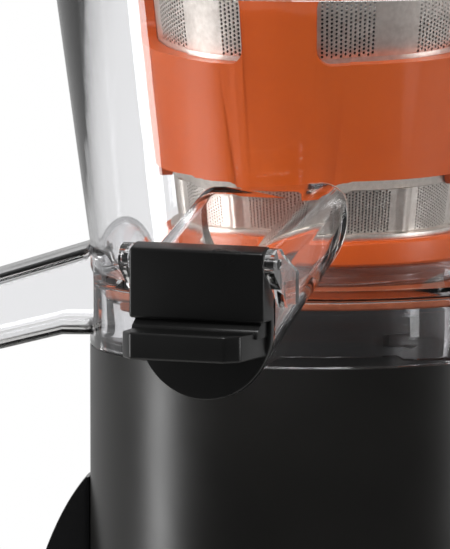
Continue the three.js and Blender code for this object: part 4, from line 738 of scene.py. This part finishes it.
# %% Seals
gasket_low, gasket_high = extent("skirt_gasket")
gasket_r = skirt_r - 1.2
half_gap = math.asin((CHUTE_HALF + 0.5) / (gasket_r - 6))
bm = outline([(gasket_r - 6.8, gasket_low.z), (gasket_r, gasket_low.z), (gasket_r, gasket_high.z),
              (gasket_r - 6.8, gasket_high.z)], closed=True, rounding=0.7, segments=4)
bmesh.ops.rotate(bm, verts=bm.verts, cent=(0, 0, 0), matrix=Matrix.Rotation(CHUTE_ANGLE + half_gap, 3, "Z"))
bmesh.ops.contextual_create(bm, geom=bm.edges[:])
bmesh.ops.spin(bm, geom=bm.faces[:], cent=(0, 0, 0), axis=(0, 0, 1), angle=TAU - 2 * half_gap, steps=120)
place(to_object(bm, "skirt_gasket_ring"), "bowl", orange_silicone, "skirt_gasket", slot="orange_silicone")

LID_SEAT = BOWL_H + 0.8
bm = spun([(bowl_top_r - WALL_T, BOWL_H), (bowl_top_r, BOWL_H), (bowl_top_r, LID_SEAT),
           (bowl_top_r - WALL_T, LID_SEAT)], closed=True, rounding=0.25)
place(to_object(bm, "rim_gasket"), "lid", grey_silicone, "lid_seal", slot="grey_silicone")

seal_low, seal_high = extent("bowl_shaft_seal")
seal_r = seal_high.x
inner = 12.8
bm = spun([(inner, seal_low.z), (seal_r, seal_low.z), (seal_r, seal_high.z), (inner + 0.6, seal_high.z),
           (inner, seal_high.z - 1.5)], closed=True, rounding=0.3, steps=64)
place(to_object(bm, "bowl_lip_seal"), "bowl", grey_silicone, "bowl_shaft_seal", slot="grey_silicone")

seal_low, seal_high = extent("shaft_seal")
bm = spun([(7.3, seal_low.z), (seal_high.x, seal_low.z), (seal_high.x, seal_high.z - 0.6),
           (seal_high.x - 0.6, seal_high.z), (8.2, seal_high.z), (7.3, seal_high.z - 1.2)],
          closed=True, rounding=0.2, steps=64)
place(to_object(bm, "drive_lip_seal"), "base", black_rubber, "shaft_seal", slot="black_rubber")

# %% [markdown]
# ## The stopper
# The stopper closes the spout. It is a round plate with a thick block across its top, which the hinge pin passes
# through, and a ledge that a finger lifts. Each part is a flat outline pushed to its depth with every edge
# rounded by a bevel, and they are joined so that the joints between them stay crisp.

# %% Stopper
SEAL_BACK = MOUTH_Y + 0.3
PLATE_BACK = SEAL_BACK + 1.1
PLATE_FRONT = PLATE_BACK + 2.5
CAP_BOTTOM = -4.0
BLOCK_FACE = MOUTH_Y + 10.2
BLOCK_TOP, BLOCK_BACK_TOP, BLOCK_BOTTOM = HINGE_Z + 3.4, HINGE_Z + 5.2, 20.2
LEDGE_REACH, LEDGE_HALF = MOUTH_Y + 24.4, CAP_HALF - 5
LEDGE_TOP, LEDGE_BOTTOM = 17.6, 9.6


def pushed(name, points, to_space, depth, width, segments):
    """A flat outline turned into a solid: to_space places a point, depth moves its copy, width rounds edges."""
    bm = bmesh.new()
    face = bm.faces.new([bm.verts.new(to_space(a, b)) for a, b in points])
    pulled(bm, [face], depth)
    bmesh.ops.recalc_face_normals(bm, faces=bm.faces)
    sharp = [e for e in bm.edges if e.calc_face_angle(0) > math.radians(25)]
    eased(bm, sharp, width, segments)
    return to_object(bm, name)


rounded = arc(0, CAP_BOTTOM + CAP_HALF, CAP_HALF, math.pi, math.pi, 64)
plate_outline = rounded + [(CAP_HALF, BLOCK_BOTTOM + 4), (-CAP_HALF, BLOCK_BOTTOM + 4)]
stopper = pushed("spout_stopper", plate_outline, lambda x, z: (SPOUT_X + x, -PLATE_BACK, z),
                 (0, PLATE_BACK - PLATE_FRONT, 0), 0.5, 3)
block_outline = [(PLATE_BACK, BLOCK_BOTTOM), (BLOCK_FACE, BLOCK_BOTTOM), (BLOCK_FACE, BLOCK_TOP),
                 (HINGE_Y - 1, BLOCK_BACK_TOP), (PLATE_BACK, HINGE_Z)]
combine(stopper, pushed("block", block_outline, lambda y, z: (SPOUT_X - CAP_HALF, -y, z), (2 * CAP_HALF, 0, 0),
                        0.9, 4), "UNION")
ledge_outline = [(-CAP_HALF + 1.5, PLATE_FRONT - 0.6), (-LEDGE_HALF - 2.6, LEDGE_REACH - 4),
                 (-LEDGE_HALF + 1.4, LEDGE_REACH), (LEDGE_HALF - 1.4, LEDGE_REACH),
                 (LEDGE_HALF + 2.2, LEDGE_REACH - 4), (CAP_HALF - 1.5, PLATE_FRONT - 0.6)]
combine(stopper, pushed("ledge", ledge_outline, lambda x, y: (SPOUT_X + x, -y, LEDGE_BOTTOM),
                        (0, 0, LEDGE_TOP - LEDGE_BOTTOM), 0.8, 3), "UNION")
web_outline = [(PLATE_BACK, LEDGE_TOP - 2), (BLOCK_FACE + 1.5, LEDGE_TOP - 2), (BLOCK_FACE + 0.6, LEDGE_TOP + 0.6),
               (BLOCK_FACE - 1.6, BLOCK_BOTTOM - 0.4), (BLOCK_FACE - 2, BLOCK_BOTTOM + 2),
               (PLATE_BACK, BLOCK_BOTTOM + 2)]
combine(stopper, pushed("web", web_outline, lambda y, z: (SPOUT_X - CAP_HALF + 1.2, -y, z),
                        (2 * CAP_HALF - 2.4, 0, 0), 0.4, 2), "UNION")
combine(stopper, to_object(rod(bmesh.new(), SPOUT_X, PIN_HOLE_R, 80), "pin_way"), "DIFFERENCE")
place(stopper, "cap", stopper_black_pp, "juice_cap", slot="satin_black", sharp=30)

# %% Hinge pin and stopper seal
bm = rod(bmesh.new(), SPOUT_X, PIN_R, 2 * (CAP_HALF + CAP_GAP + EAR_T) - 0.2)
ends = [e for e in bm.edges if abs(abs(e.verts[0].co.x - SPOUT_X) - abs(e.verts[1].co.x - SPOUT_X)) < 1e-4
        and abs(e.verts[0].co.x - e.verts[1].co.x) < 1e-4]
eased(bm, ends, 0.3, 2)
place(to_object(bm, "stopper_pin"), "bowl", stopper_black_pp, "cap_hinge_pin", slot="shaft_steel")


def seal_ring(bm, reach, inset):
    """The seal's outline: the mouth's section, 4 mm lower at the top."""
    points = arched(MOUTH_HALF - inset, MOUTH_SILL + inset, MOUTH_ROOF - 4 - inset, max(1.0, 7.0 - inset), 10)
    return upright_ring(bm, reach, points)


bm = bmesh.new()
lips = [(SEAL_BACK, 0.9), (SEAL_BACK, 3.2), (PLATE_BACK, 3.2), (PLATE_BACK, 0.9), (PLATE_BACK - 0.3, 0.6),
        (SEAL_BACK + 0.3, 0.6)]
loops = [seal_ring(bm, reach, inset) for reach, inset in lips]
for a, b in zip(loops, loops[1:] + loops[:1]):
    bmesh.ops.bridge_loops(bm, edges=a + b)
place(to_object(bm, "stopper_gasket"), "cap", grey_silicone, "cap_seal", slot="grey_silicone")

# %% [markdown]
# ## The sieve
# The sieve is a cone of steel sheet with thousands of etched holes. One hole in its little rectangle of metal is
# modelled once, and duplicate makes a column, a pair of staggered columns and a patch. Between the patches the
# sheet is plain, with a pressed rib that makes it stiff. All of it is drawn flat, then rolled into the cone.

# %% One hole, one column, one patch
SIEVE_LOW, SIEVE_HIGH = 36.0, extent("strainer_sieve")[1].z
SIEVE_R0, SIEVE_FLARE = 42.2, 0.145
SHEET = 0.5


def sieve_radius(height):
    return SIEVE_R0 + SIEVE_FLARE * (height - SIEVE_LOW)


def duplicated(bm, geom, vec):
    """A copy of geom moved by vec."""
    made = bmesh.ops.duplicate(bm, geom=geom)["geom"]
    bmesh.ops.translate(bm, verts=[g for g in made if isinstance(g, bmesh.types.BMVert)], vec=vec)
    return made


def holed_panel(columns, rows, column_step, row_step, hole_r):
    """A flat patch of staggered round holes, from the origin along +X and up +Z, with straight edges."""
    bm = bmesh.new()
    for first in (0, 1):
        shift = first * row_step / 2
        for row in range(-first, rows):
            z0 = row * row_step + shift
            low, high = max(z0, 0), min(z0 + row_step, rows * row_step)
            x0, x1, xm = first * column_step, (first + 1) * column_step, (first + 0.5) * column_step
            if high - low < row_step * 0.9:
                corners = [(x0, low), (xm, low), (x1, low), (x1, high), (xm, high), (x0, high)]
                bm.faces.new([bm.verts.new((x, 0, z)) for x, z in corners])
                continue
            zm = (low + high) / 2
            edge = [(xm, low), (x1, low), (x1, zm), (x1, high), (xm, high), (x0, high), (x0, zm), (x0, low)]
            outer = [bm.verts.new((x, 0, z)) for x, z in edge]
            hole = arc(xm, zm, hole_r, -math.pi / 2, TAU, 8)[:8]
            inner = [bm.verts.new((x, 0, z)) for x, z in hole]
            for i in range(8):
                j = (i + 1) % 8
                bm.faces.new((outer[i], outer[j], inner[j], inner[i]))
    pair = whole(bm)
    for i in range(1, columns // 2):
        duplicated(bm, pair, (2 * i * column_step, 0, 0))
    bmesh.ops.remove_doubles(bm, verts=bm.verts, dist=0.01)
    return bm


def plain_panel(width, height, across, up):
    """A plain piece of sheet divided into across by up faces."""
    bm = bmesh.new()
    bmesh.ops.create_grid(bm, x_segments=across, y_segments=up, size=0.5,
                          matrix=Matrix.Rotation(math.pi / 2, 4, "X"))
    bmesh.ops.scale(bm, vec=(width, 1, height), verts=bm.verts)
    return moved(bm, (width / 2, 0, height / 2))

# %% [markdown]
# Ten patches and ten ribs go round the lower windows. One patch with the rib beside it is a tenth of the turn, so
# it is drawn once and copied ten times. The rolling turns the distance along the sheet into an angle, measured at
# the sheet's own middle height, so that a hole stays as round as the flare allows.

# %% Roll a band of sheet into the cone
def rolled(bm, name, low, start_deg, repeat, copies):
    """Copies a flat band round the cone from start_deg, merges the seams and gives the sheet its thickness."""
    tenth = whole(bm)
    for i in range(1, copies):
        duplicated(bm, tenth, (i * repeat, 0, 0))
    whole_turn = repeat * copies
    start = math.radians(start_deg)
    for v in bm.verts:
        height = low + v.co.z
        r = sieve_radius(height) - SHEET + v.co.y
        angle = start + v.co.x / whole_turn * TAU
        v.co = Vector((r * math.cos(angle), r * math.sin(angle), height))
    bmesh.ops.remove_doubles(bm, verts=bm.verts, dist=0.02)
    bmesh.ops.recalc_face_normals(bm, faces=bm.faces)
    bmesh.ops.solidify(bm, geom=bm.faces[:], thickness=-SHEET)
    return to_object(bm, name)


LOWER_Z, ROWS, ROW_STEP, COLUMN_STEP, HOLE_R = 37.9, 14, 0.905, 1.085, 0.31
COLUMNS = 16
patch_w = COLUMNS * COLUMN_STEP
mid_r = sieve_radius(LOWER_Z + ROWS * ROW_STEP / 2)
tenth_w = TAU * mid_r / 10
rib_w = tenth_w - patch_w
bm = holed_panel(COLUMNS, ROWS, COLUMN_STEP, ROW_STEP, HOLE_R)
rib = plain_panel(rib_w, ROWS * ROW_STEP, 12, 2 * ROWS)
for v in rib.verts:
    x = abs(v.co.x - rib_w / 2)
    v.co.y = 0.75 * max(0.0, math.cos(min(x / 2.0, 1.0) * math.pi / 2)) ** 0.8
added(bm, rib, (patch_w, 0, 0))
FRONT_PATCH_DEG = -48.1
lower = rolled(bm, "sieve_lower", LOWER_Z, FRONT_PATCH_DEG - math.degrees(patch_w / mid_r) / 2, tenth_w, 10)
print("sieve_lower", len(lower.data.polygons), "faces")

UPPER_Z, UPPER_ROWS, UPPER_ROW_STEP = 90.0, 14, 1.2
UPPER_COLUMNS, UPPER_COLUMN_STEP = 12, 1.45
upper_h = UPPER_ROWS * UPPER_ROW_STEP
upper_w = UPPER_COLUMNS * UPPER_COLUMN_STEP
tenth_w = TAU * sieve_radius(UPPER_Z + upper_h / 2) / 10
bm = holed_panel(UPPER_COLUMNS, UPPER_ROWS, UPPER_COLUMN_STEP, UPPER_ROW_STEP, 0.42)
added(bm, plain_panel(tenth_w - upper_w, upper_h, 8, 2 * UPPER_ROWS), (upper_w, 0, 0))
upper = rolled(bm, "sieve_upper", UPPER_Z, -66.5, tenth_w, 10)
for band in (lower, upper):
    place(band, "strainer", sieve_steel, "strainer_sieve", slot="sieve_steel", sharp=50)

# %% [markdown]
# The rest of the cone is plain sheet: the flange at its foot, the part behind the orange band, and the top edge.
# These are turned rings that meet the perforated bands.

# %% Plain rings of the sieve
def plain_ring(name, low, high, flange=0.0):
    """A turned ring of sheet between two heights, with a flange at its foot if asked."""
    points = [(sieve_radius(low), low), (sieve_radius(high), high), (sieve_radius(high) - SHEET, high),
              (sieve_radius(low) - SHEET, low)]
    if flange:
        points = [(flange, low), (flange, low + 1.5), (sieve_radius(low + 1.5) + 0.4, low + 1.5)] + points[1:]
    return to_object(spun(points, closed=True, rounding=0.15, steps=ROUND, segments=2), name)


for ring in (plain_ring("sieve_foot", SIEVE_LOW, LOWER_Z, flange=45),
             plain_ring("sieve_waist", LOWER_Z + ROWS * ROW_STEP, UPPER_Z),
             plain_ring("sieve_crown", UPPER_Z + upper_h, SIEVE_HIGH)):
    place(ring, "strainer", sieve_steel, "strainer_sieve", slot="sieve_steel")

# %% [markdown]
# ## The orange frame
# The frame holds the sieve: a band round its waist with four pillars up to a top ring, and a tongue below each
# pillar. It is drawn on a flat sheet, arc length across and height up. Each quarter's outline leaves its windows
# open, a bevel on the corner vertices rounds them, and cutting planes divide the sheet into strips. Then it is given
# its depth and rolled.

# %% Frame
BAND_LOW, BAND_HIGH = 54.0, 88.6
RING_LOW, RING_HIGH = 110.0, extent("strainer_frame")[1].z
PILLAR_DEG, PILLAR_HALF, TONGUE_HALF, TONGUE_DROP = -79.5, 12.0, 16.0, 4.0
flat_r = 55.0
quarter = TAU * flat_r / 4
bm = bmesh.new()
pillar = math.radians(PILLAR_HALF) * flat_r
tongue = math.radians(TONGUE_HALF) * flat_r
slope = 2.2
low_edge = [(-quarter / 2, BAND_LOW), (-tongue - slope, BAND_LOW), (-tongue, BAND_LOW - TONGUE_DROP),
            (tongue, BAND_LOW - TONGUE_DROP), (tongue + slope, BAND_LOW), (quarter / 2, BAND_LOW)]
right_side = [(quarter / 2, BAND_HIGH), (pillar, BAND_HIGH), (pillar, RING_LOW), (quarter / 2, RING_LOW),
              (quarter / 2, RING_HIGH)]
left_side = [(-quarter / 2, RING_HIGH), (-quarter / 2, RING_LOW), (-pillar, RING_LOW), (-pillar, BAND_HIGH),
             (-quarter / 2, BAND_HIGH)]
verts = [bm.verts.new((x, 0, z)) for x, z in low_edge + right_side + left_side]
bm.faces.new(verts)
tongue_corners = [v for v in verts if v.co.z < BAND_LOW + 0.1 and abs(v.co.x) < quarter / 2 - 1]
window_corners = [v for v in verts if abs(abs(v.co.x) - pillar) < 0.01]
eased(bm, tongue_corners, 1.6, 6, "VERTICES")
eased(bm, [v for v in window_corners if v.is_valid], 4.5, 5, "VERTICES")
steps = 30
for i in range(1, steps):
    x = -quarter / 2 + quarter * i / steps
    bmesh.ops.bisect_plane(bm, geom=whole(bm), plane_co=(x, 0, 0), plane_no=(1, 0, 0), dist=1e-4)
quarter_geom = whole(bm)
for i in range(1, 4):
    duplicated(bm, quarter_geom, (i * quarter, 0, 0))
bmesh.ops.remove_doubles(bm, verts=bm.verts, dist=1e-3)
pulled(bm, bm.faces[:], (0, 1, 0))
seam = [f for f in bm.faces if all(abs(v.co.x + quarter / 2) < 1e-3 for v in f.verts)
        or all(abs(v.co.x - 3.5 * quarter) < 1e-3 for v in f.verts)]
bmesh.ops.delete(bm, geom=seam, context="FACES")
for v in bm.verts:
    height = v.co.z
    angle = math.radians(PILLAR_DEG) + v.co.x / flat_r
    depth = 4.9 - (0.9 if height < BAND_LOW - 0.5 else 0.0)
    r = sieve_radius(min(height, SIEVE_HIGH)) + 0.3 + v.co.y * depth
    v.co = Vector((r * math.cos(angle), r * math.sin(angle), height))
bmesh.ops.remove_doubles(bm, verts=bm.verts, dist=0.01)
frame_piece = edges_softened(to_object(bm, "strainer_cage"), 0.7, 3, 45)
place(frame_piece, "strainer", orange_abs, "strainer_frame", slot="orange_plastic", sharp=50)

# %% Base ring of the strainer
ring_low, ring_high = extent("strainer_base_ring")
ring_r = ring_high.x
plate_top = ring_low.z + 2.7
sieve_seat = SIEVE_R0 - 0.6
bm = spun([(HUB_R + 2, ring_low.z), (ring_r - 1, ring_low.z), (ring_r, ring_low.z + 1),
           (ring_r, ring_high.z - 0.8), (ring_r - 0.8, ring_high.z), (sieve_seat, ring_high.z),
           (sieve_seat, plate_top), (HUB_R + 2, plate_top)], closed=True, rounding=0.3, steps=ROUND)
base_ring = to_object(bm, "strainer_foot_ring")
bm = bmesh.new()
bmesh.ops.create_cube(bm, size=1, matrix=CHUTE_TURN @ Matrix.Translation((36.5, 0, ring_low.z + 1)) @
                      Matrix.Diagonal((9, 18, 8, 1)))
upright = [e for e in bm.edges if abs(e.verts[0].co.z - e.verts[1].co.z) > 1]
eased(bm, upright, 2.5, 5)
combine(base_ring, to_object(bm, "pulp_hole"), "DIFFERENCE")
place(base_ring, "strainer", orange_abs, "strainer_base_ring", slot="orange_plastic")

# %% [markdown]
# ## The pressing screw
# Two flights climb round a tapering core and crush the fruit against the sieve. A flight is a row of sections,
# each turned and lifted a little from the last and as long as the gap between core and sieve. bridge_loops makes
# the skin between neighbouring sections, and a Boolean joins each flight to the turned core.

# %% Screw
SCREW_LOW, SCREW_HIGH = 34.5, SIEVE_HIGH - 2
PIN_TOP = SCREW_HIGH + 15
SOCKET_TOP, SOCKET_R = 53.0, 12.5
CORE_TOP_R, CORE_LOW_R = 13, 33
screw = to_object(spun([(0, PIN_TOP), (6, PIN_TOP), (6, SCREW_HIGH + 2), (CORE_TOP_R, SCREW_HIGH),
                        (CORE_LOW_R, SCREW_LOW), (HUB_R + 3, SCREW_LOW), (HUB_R + 3, HUB_TOP + 3),
                        (SOCKET_R + 0.3, HUB_TOP + 3), (SOCKET_R + 0.3, SOCKET_TOP), (0, SOCKET_TOP)],
                       rounding=0.4, steps=96), "pressing_screw_body")
TURNS, PER_TURN = 2.5, 56
climb = SCREW_HIGH - SCREW_LOW - 8
SECTION = [(0.0, -1.7), (0.84, -1.7), (0.95, -1.4), (1.0, -0.9), (1.0, 0.9), (0.95, 1.4), (0.84, 1.7), (0.0, 1.7)]
steps = int(TURNS * PER_TURN)
for first in (0, math.pi):
    bm = bmesh.new()
    last = None
    for i in range(steps + 1):
        t = i / steps
        middle = SCREW_LOW + 2.7 + climb * t ** 0.8
        tip = sieve_radius(max(middle, SIEVE_LOW)) - 1.5
        root = CORE_LOW_R - (CORE_LOW_R - CORE_TOP_R) * (middle - SCREW_LOW) / (SCREW_HIGH - SCREW_LOW) - 2
        angle = first - t * TURNS * TAU
        ring = []
        for share, z in SECTION:
            r = root + (tip - root) * share
            ring.append(bm.verts.new((r * math.cos(angle), r * math.sin(angle), middle + z)))
        edges = [bm.edges.new((a, b)) for a, b in zip(ring, ring[1:] + ring[:1])]
        if last:
            bmesh.ops.bridge_loops(bm, edges=last + edges)
        else:
            bmesh.ops.contextual_create(bm, geom=edges)
        last = edges
    bmesh.ops.contextual_create(bm, geom=last)
    combine(screw, to_object(bm, "flight"), "UNION")
print("screw core", len(screw.data.polygons), "faces")
place(screw, "screw", screw_black_pei, "pressing_screw", slot="gloss_black", sharp=40)

# %% [markdown]
# ## Lid, feed tube and pusher
# The lid and its feed tube are one clear moulding, and the pusher is a hollow black plug that hangs in the tube
# by its head. Both are turned. The tube stands off the axis, so the Boolean modifier joins it to the lid.

# %% Lid
lid_low, lid_high = extent("lid")
LID_R = lid_high.x
LID_T = 3.0
HUB_OUT, POCKET = 10.5, 9.3
locating = sieve_radius(RING_HIGH) + 5.2 + 0.3
lid_top = LID_SEAT + LID_T
lid = to_object(spun([
    (0, PIN_TOP + 5), (HUB_OUT + 2, PIN_TOP + 5), (HUB_OUT + 4, lid_top), (LID_R - 2, lid_top), (LID_R, lid_top - 2),
    (LID_R, lid_low.z), (LID_R - 2.6, lid_low.z), (LID_R - 2.6, LID_SEAT), (locating + 2.5, LID_SEAT),
    (locating + 2.5, LID_SEAT - 10), (locating, LID_SEAT - 10), (locating, LID_SEAT), (HUB_OUT + 2, LID_SEAT),
    (HUB_OUT + 2, SCREW_HIGH + 4), (POCKET, SCREW_HIGH + 4), (POCKET, PIN_TOP + 1), (0, PIN_TOP + 1)],
    rounding=0.5, steps=ROUND), "clear_lid")
FEED_R, FEED_WALL, FEED_WAY = 19.5, 2.5, (0, -33.0, 0)
TUBE_TOP = extent("feed_tube")[1].z
bm = spun([(0, LID_SEAT + 0.4), (FEED_R + FEED_WALL, LID_SEAT + 0.4), (FEED_R + FEED_WALL, TUBE_TOP),
           (0, TUBE_TOP)], rounding=0.6, steps=96)
combine(lid, to_object(moved(bm, FEED_WAY), "tube"), "UNION")
bm = spun([(0, LID_SEAT - 30), (FEED_R, LID_SEAT - 30), (FEED_R, TUBE_TOP + 2), (0, TUBE_TOP + 2)], steps=96)
combine(lid, to_object(moved(bm, FEED_WAY), "tube_bore"), "DIFFERENCE")
place(lid, "lid", lid_copolyester, "lid", "feed_tube", slot="clear_plastic", sharp=28)

# %% Pusher
pusher_low, pusher_high = extent("pusher")
plug_r = FEED_R - 0.6
HEAD_R = 25
bm = spun([
    (0, pusher_low.z), (plug_r - 1, pusher_low.z), (plug_r, pusher_low.z + 1), (plug_r, TUBE_TOP),
    (HEAD_R, TUBE_TOP), (HEAD_R, TUBE_TOP + 4), (HEAD_R - 0.4, TUBE_TOP + 4.4), (HEAD_R - 0.4, TUBE_TOP + 5.6),
    (HEAD_R, TUBE_TOP + 6), (HEAD_R, pusher_high.z - 3), (HEAD_R - 3, pusher_high.z),
    (plug_r - 2.2, pusher_high.z), (plug_r - 2.2, pusher_low.z + 3), (0, pusher_low.z + 3)],
    rounding=0.5, steps=96)
place(to_object(moved(bm, FEED_WAY), "feed_pusher"), "pusher", stopper_black_pp, "pusher", slot="satin_black")

# %% [markdown]
# ## What stays as engineered
# Motor, gears, shafts and covers are out of sight. Their engineering solids are already the right shape, so they
# only get a material that suits how each is made.

# %% Materials of the inner pieces
inner = {
    satin_black_abs: ["rotary_switch"],
    blasted_alloy: ["motor_bell_lower", "motor_bell_upper", "gearbox_housing", "gearbox_lid"],
    lamination_steel: ["stator_core", "rotor_core"],
    enamelled_copper: ["winding_lower", "winding_upper"],
    sintered_bronze: ["motor_bearing_lower", "motor_bearing_upper", "output_bush"],
    ground_steel: ["rotor_shaft", "motor_pinion", "intermediate_pinion", "countershaft", "drive_shaft",
                   "screw_drive_socket"],
    zinc_steel: [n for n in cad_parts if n.startswith("cover_screw")],
    white_nylon: ["intermediate_gear", "output_gear", "lid_bush", "knob_spindle"],
}
for material, names in inner.items():
    for name in names:
        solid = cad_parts[name]
        solid.data.materials.clear()
        solid.data.materials.append(material)
print(sum(len(names) for names in inner.values()), "inner solids dressed")

# %% [markdown]
# ## Studio
# The juicer stands on a round pale floor in front of a white backdrop. What is seen directly or straight through
# the clear plastic is full white. Reflections and shade get the room itself, which is bright at the backdrop and
# dim at the front, as it is when black cards stand beside the camera. That keeps the black deep and gives the
# clear walls their grey outline. A tall softbox at the left draws the soft upright band on the black cylinder, a
# wide one above the front lights the stopper's edges, one above the back lights the spout's roof, and a narrow one
# at the right draws the far edge.

# %% Floor, world and lamps
def facing(eye, target):
    """The placing of a lamp or a camera at eye that looks at target."""
    return Matrix.Translation(eye) @ (target - eye).to_track_quat("-Z", "Y").to_matrix().to_4x4()


def lamp(name, where, aim, size_x, size_y, power):
    """A rectangular softbox at where, in mm about the axis, that faces aim."""
    light = bpy.data.lights.new(name, "AREA")
    light.shape = "RECTANGLE"
    light.size, light.size_y = size_x * MM, size_y * MM
    light.energy = power
    holder = bpy.data.objects.new(name, light)
    spot = TO_FRAME @ Vector(where)
    holder.matrix_world = facing(spot, TO_FRAME @ Vector(aim))
    bpy.context.scene.collection.objects.link(holder)
    return holder


bm = bmesh.new()
FLOOR_R = 360
bmesh.ops.create_circle(bm, cap_ends=True, segments=96, radius=FLOOR_R, matrix=Matrix.Translation((0, 0, -RIM)))
floor = to_object(bm, "paper_floor")
floor.data.flip_normals()  # a single sheet has no inside, so its face is turned up here
floor.data.transform(TO_FRAME)
material, tree, output, where = new_material("white_paper")
fibre = node(tree, "TexNoise", Vector=where, Scale=grain(3), Detail=4.0).outputs["Fac"]
white = node(tree, "Mix", {"data_type": "RGBA"}, i0=fibre, i6=linear("#E2E1DE"), i7=linear("#EAE9E6")).outputs[2]
paper = node(tree, "BsdfPrincipled", Base_Color=white, Roughness=0.9)
tree.links.new(paper.outputs["BSDF"], output.inputs["Surface"])
floor.data.materials.append(material)

world = bpy.data.worlds.new("studio")
bpy.context.scene.world = world
world.use_nodes = True
tree = world.node_tree
tree.nodes.clear()
path = node(tree, "LightPath")
bounces = node(tree, "Math", {"operation": "ADD"}, i0=path.outputs["Diffuse Depth"],
               i1=path.outputs["Glossy Depth"]).outputs["Value"]
reflected = node(tree, "Math", {"operation": "MINIMUM"}, i0=bounces, i1=1.0).outputs["Value"]
direction = node(tree, "TexCoord").outputs["Generated"]
TO_FRONT = (0.39, -0.92, 0)
forwards = node(tree, "VectorMath", {"operation": "DOT_PRODUCT"}, i0=direction, i1=TO_FRONT).outputs["Value"]
room_light = node(tree, "MapRange", Value=forwards, From_Min=-0.7, From_Max=0.3, To_Min=0.5,
                  To_Max=0.08).outputs["Result"]
strength = node(tree, "MapRange", Value=reflected, To_Min=1.0, To_Max=room_light).outputs["Result"]
sky = node(tree, "Background", Color=linear("#FFFFFF"), Strength=strength)
tree.links.new(sky.outputs["Background"], tree.nodes.new("ShaderNodeOutputWorld").inputs["Surface"])
lamp("left_strip", (-1663, -877, 60), (0, 0, -20), 340, 1300, 14)
lamp("overhead_box", (300, -1100, 1500), (0, 0, 0), 1300, 700, 19)
lamp("back_box", (-200, 1150, 1250), (0, 0, 0), 1400, 800, 4.5)
lamp("right_strip", (1500, 350, 300), (0, 0, 60), 260, 1200, 5)

# %% Camera
AZIMUTH, ELEVATION, DISTANCE, LENS = math.radians(23), math.radians(6.05), 2333.0, 494.0
aim = Vector((-25.96, -11.02, 21.17))
level = math.cos(ELEVATION)
away = Vector((math.sin(AZIMUTH) * level, -math.cos(AZIMUTH) * level, math.sin(ELEVATION)))
lens = bpy.data.cameras.new("camera")
lens.lens, lens.sensor_width, lens.sensor_fit = LENS, 36.0, "AUTO"
lens.clip_start, lens.clip_end = 0.05, 20.0
camera = bpy.data.objects.new("camera", lens)
camera.matrix_world = facing(TO_FRAME @ (aim + away * DISTANCE), TO_FRAME @ aim)
bpy.context.scene.collection.objects.link(camera)
bpy.context.scene.camera = camera
bpy.context.scene.view_settings.view_transform = "Standard"
bpy.context.scene.view_settings.look = "None"
print("camera", round(DISTANCE), "mm away, lens", round(LENS), "mm")
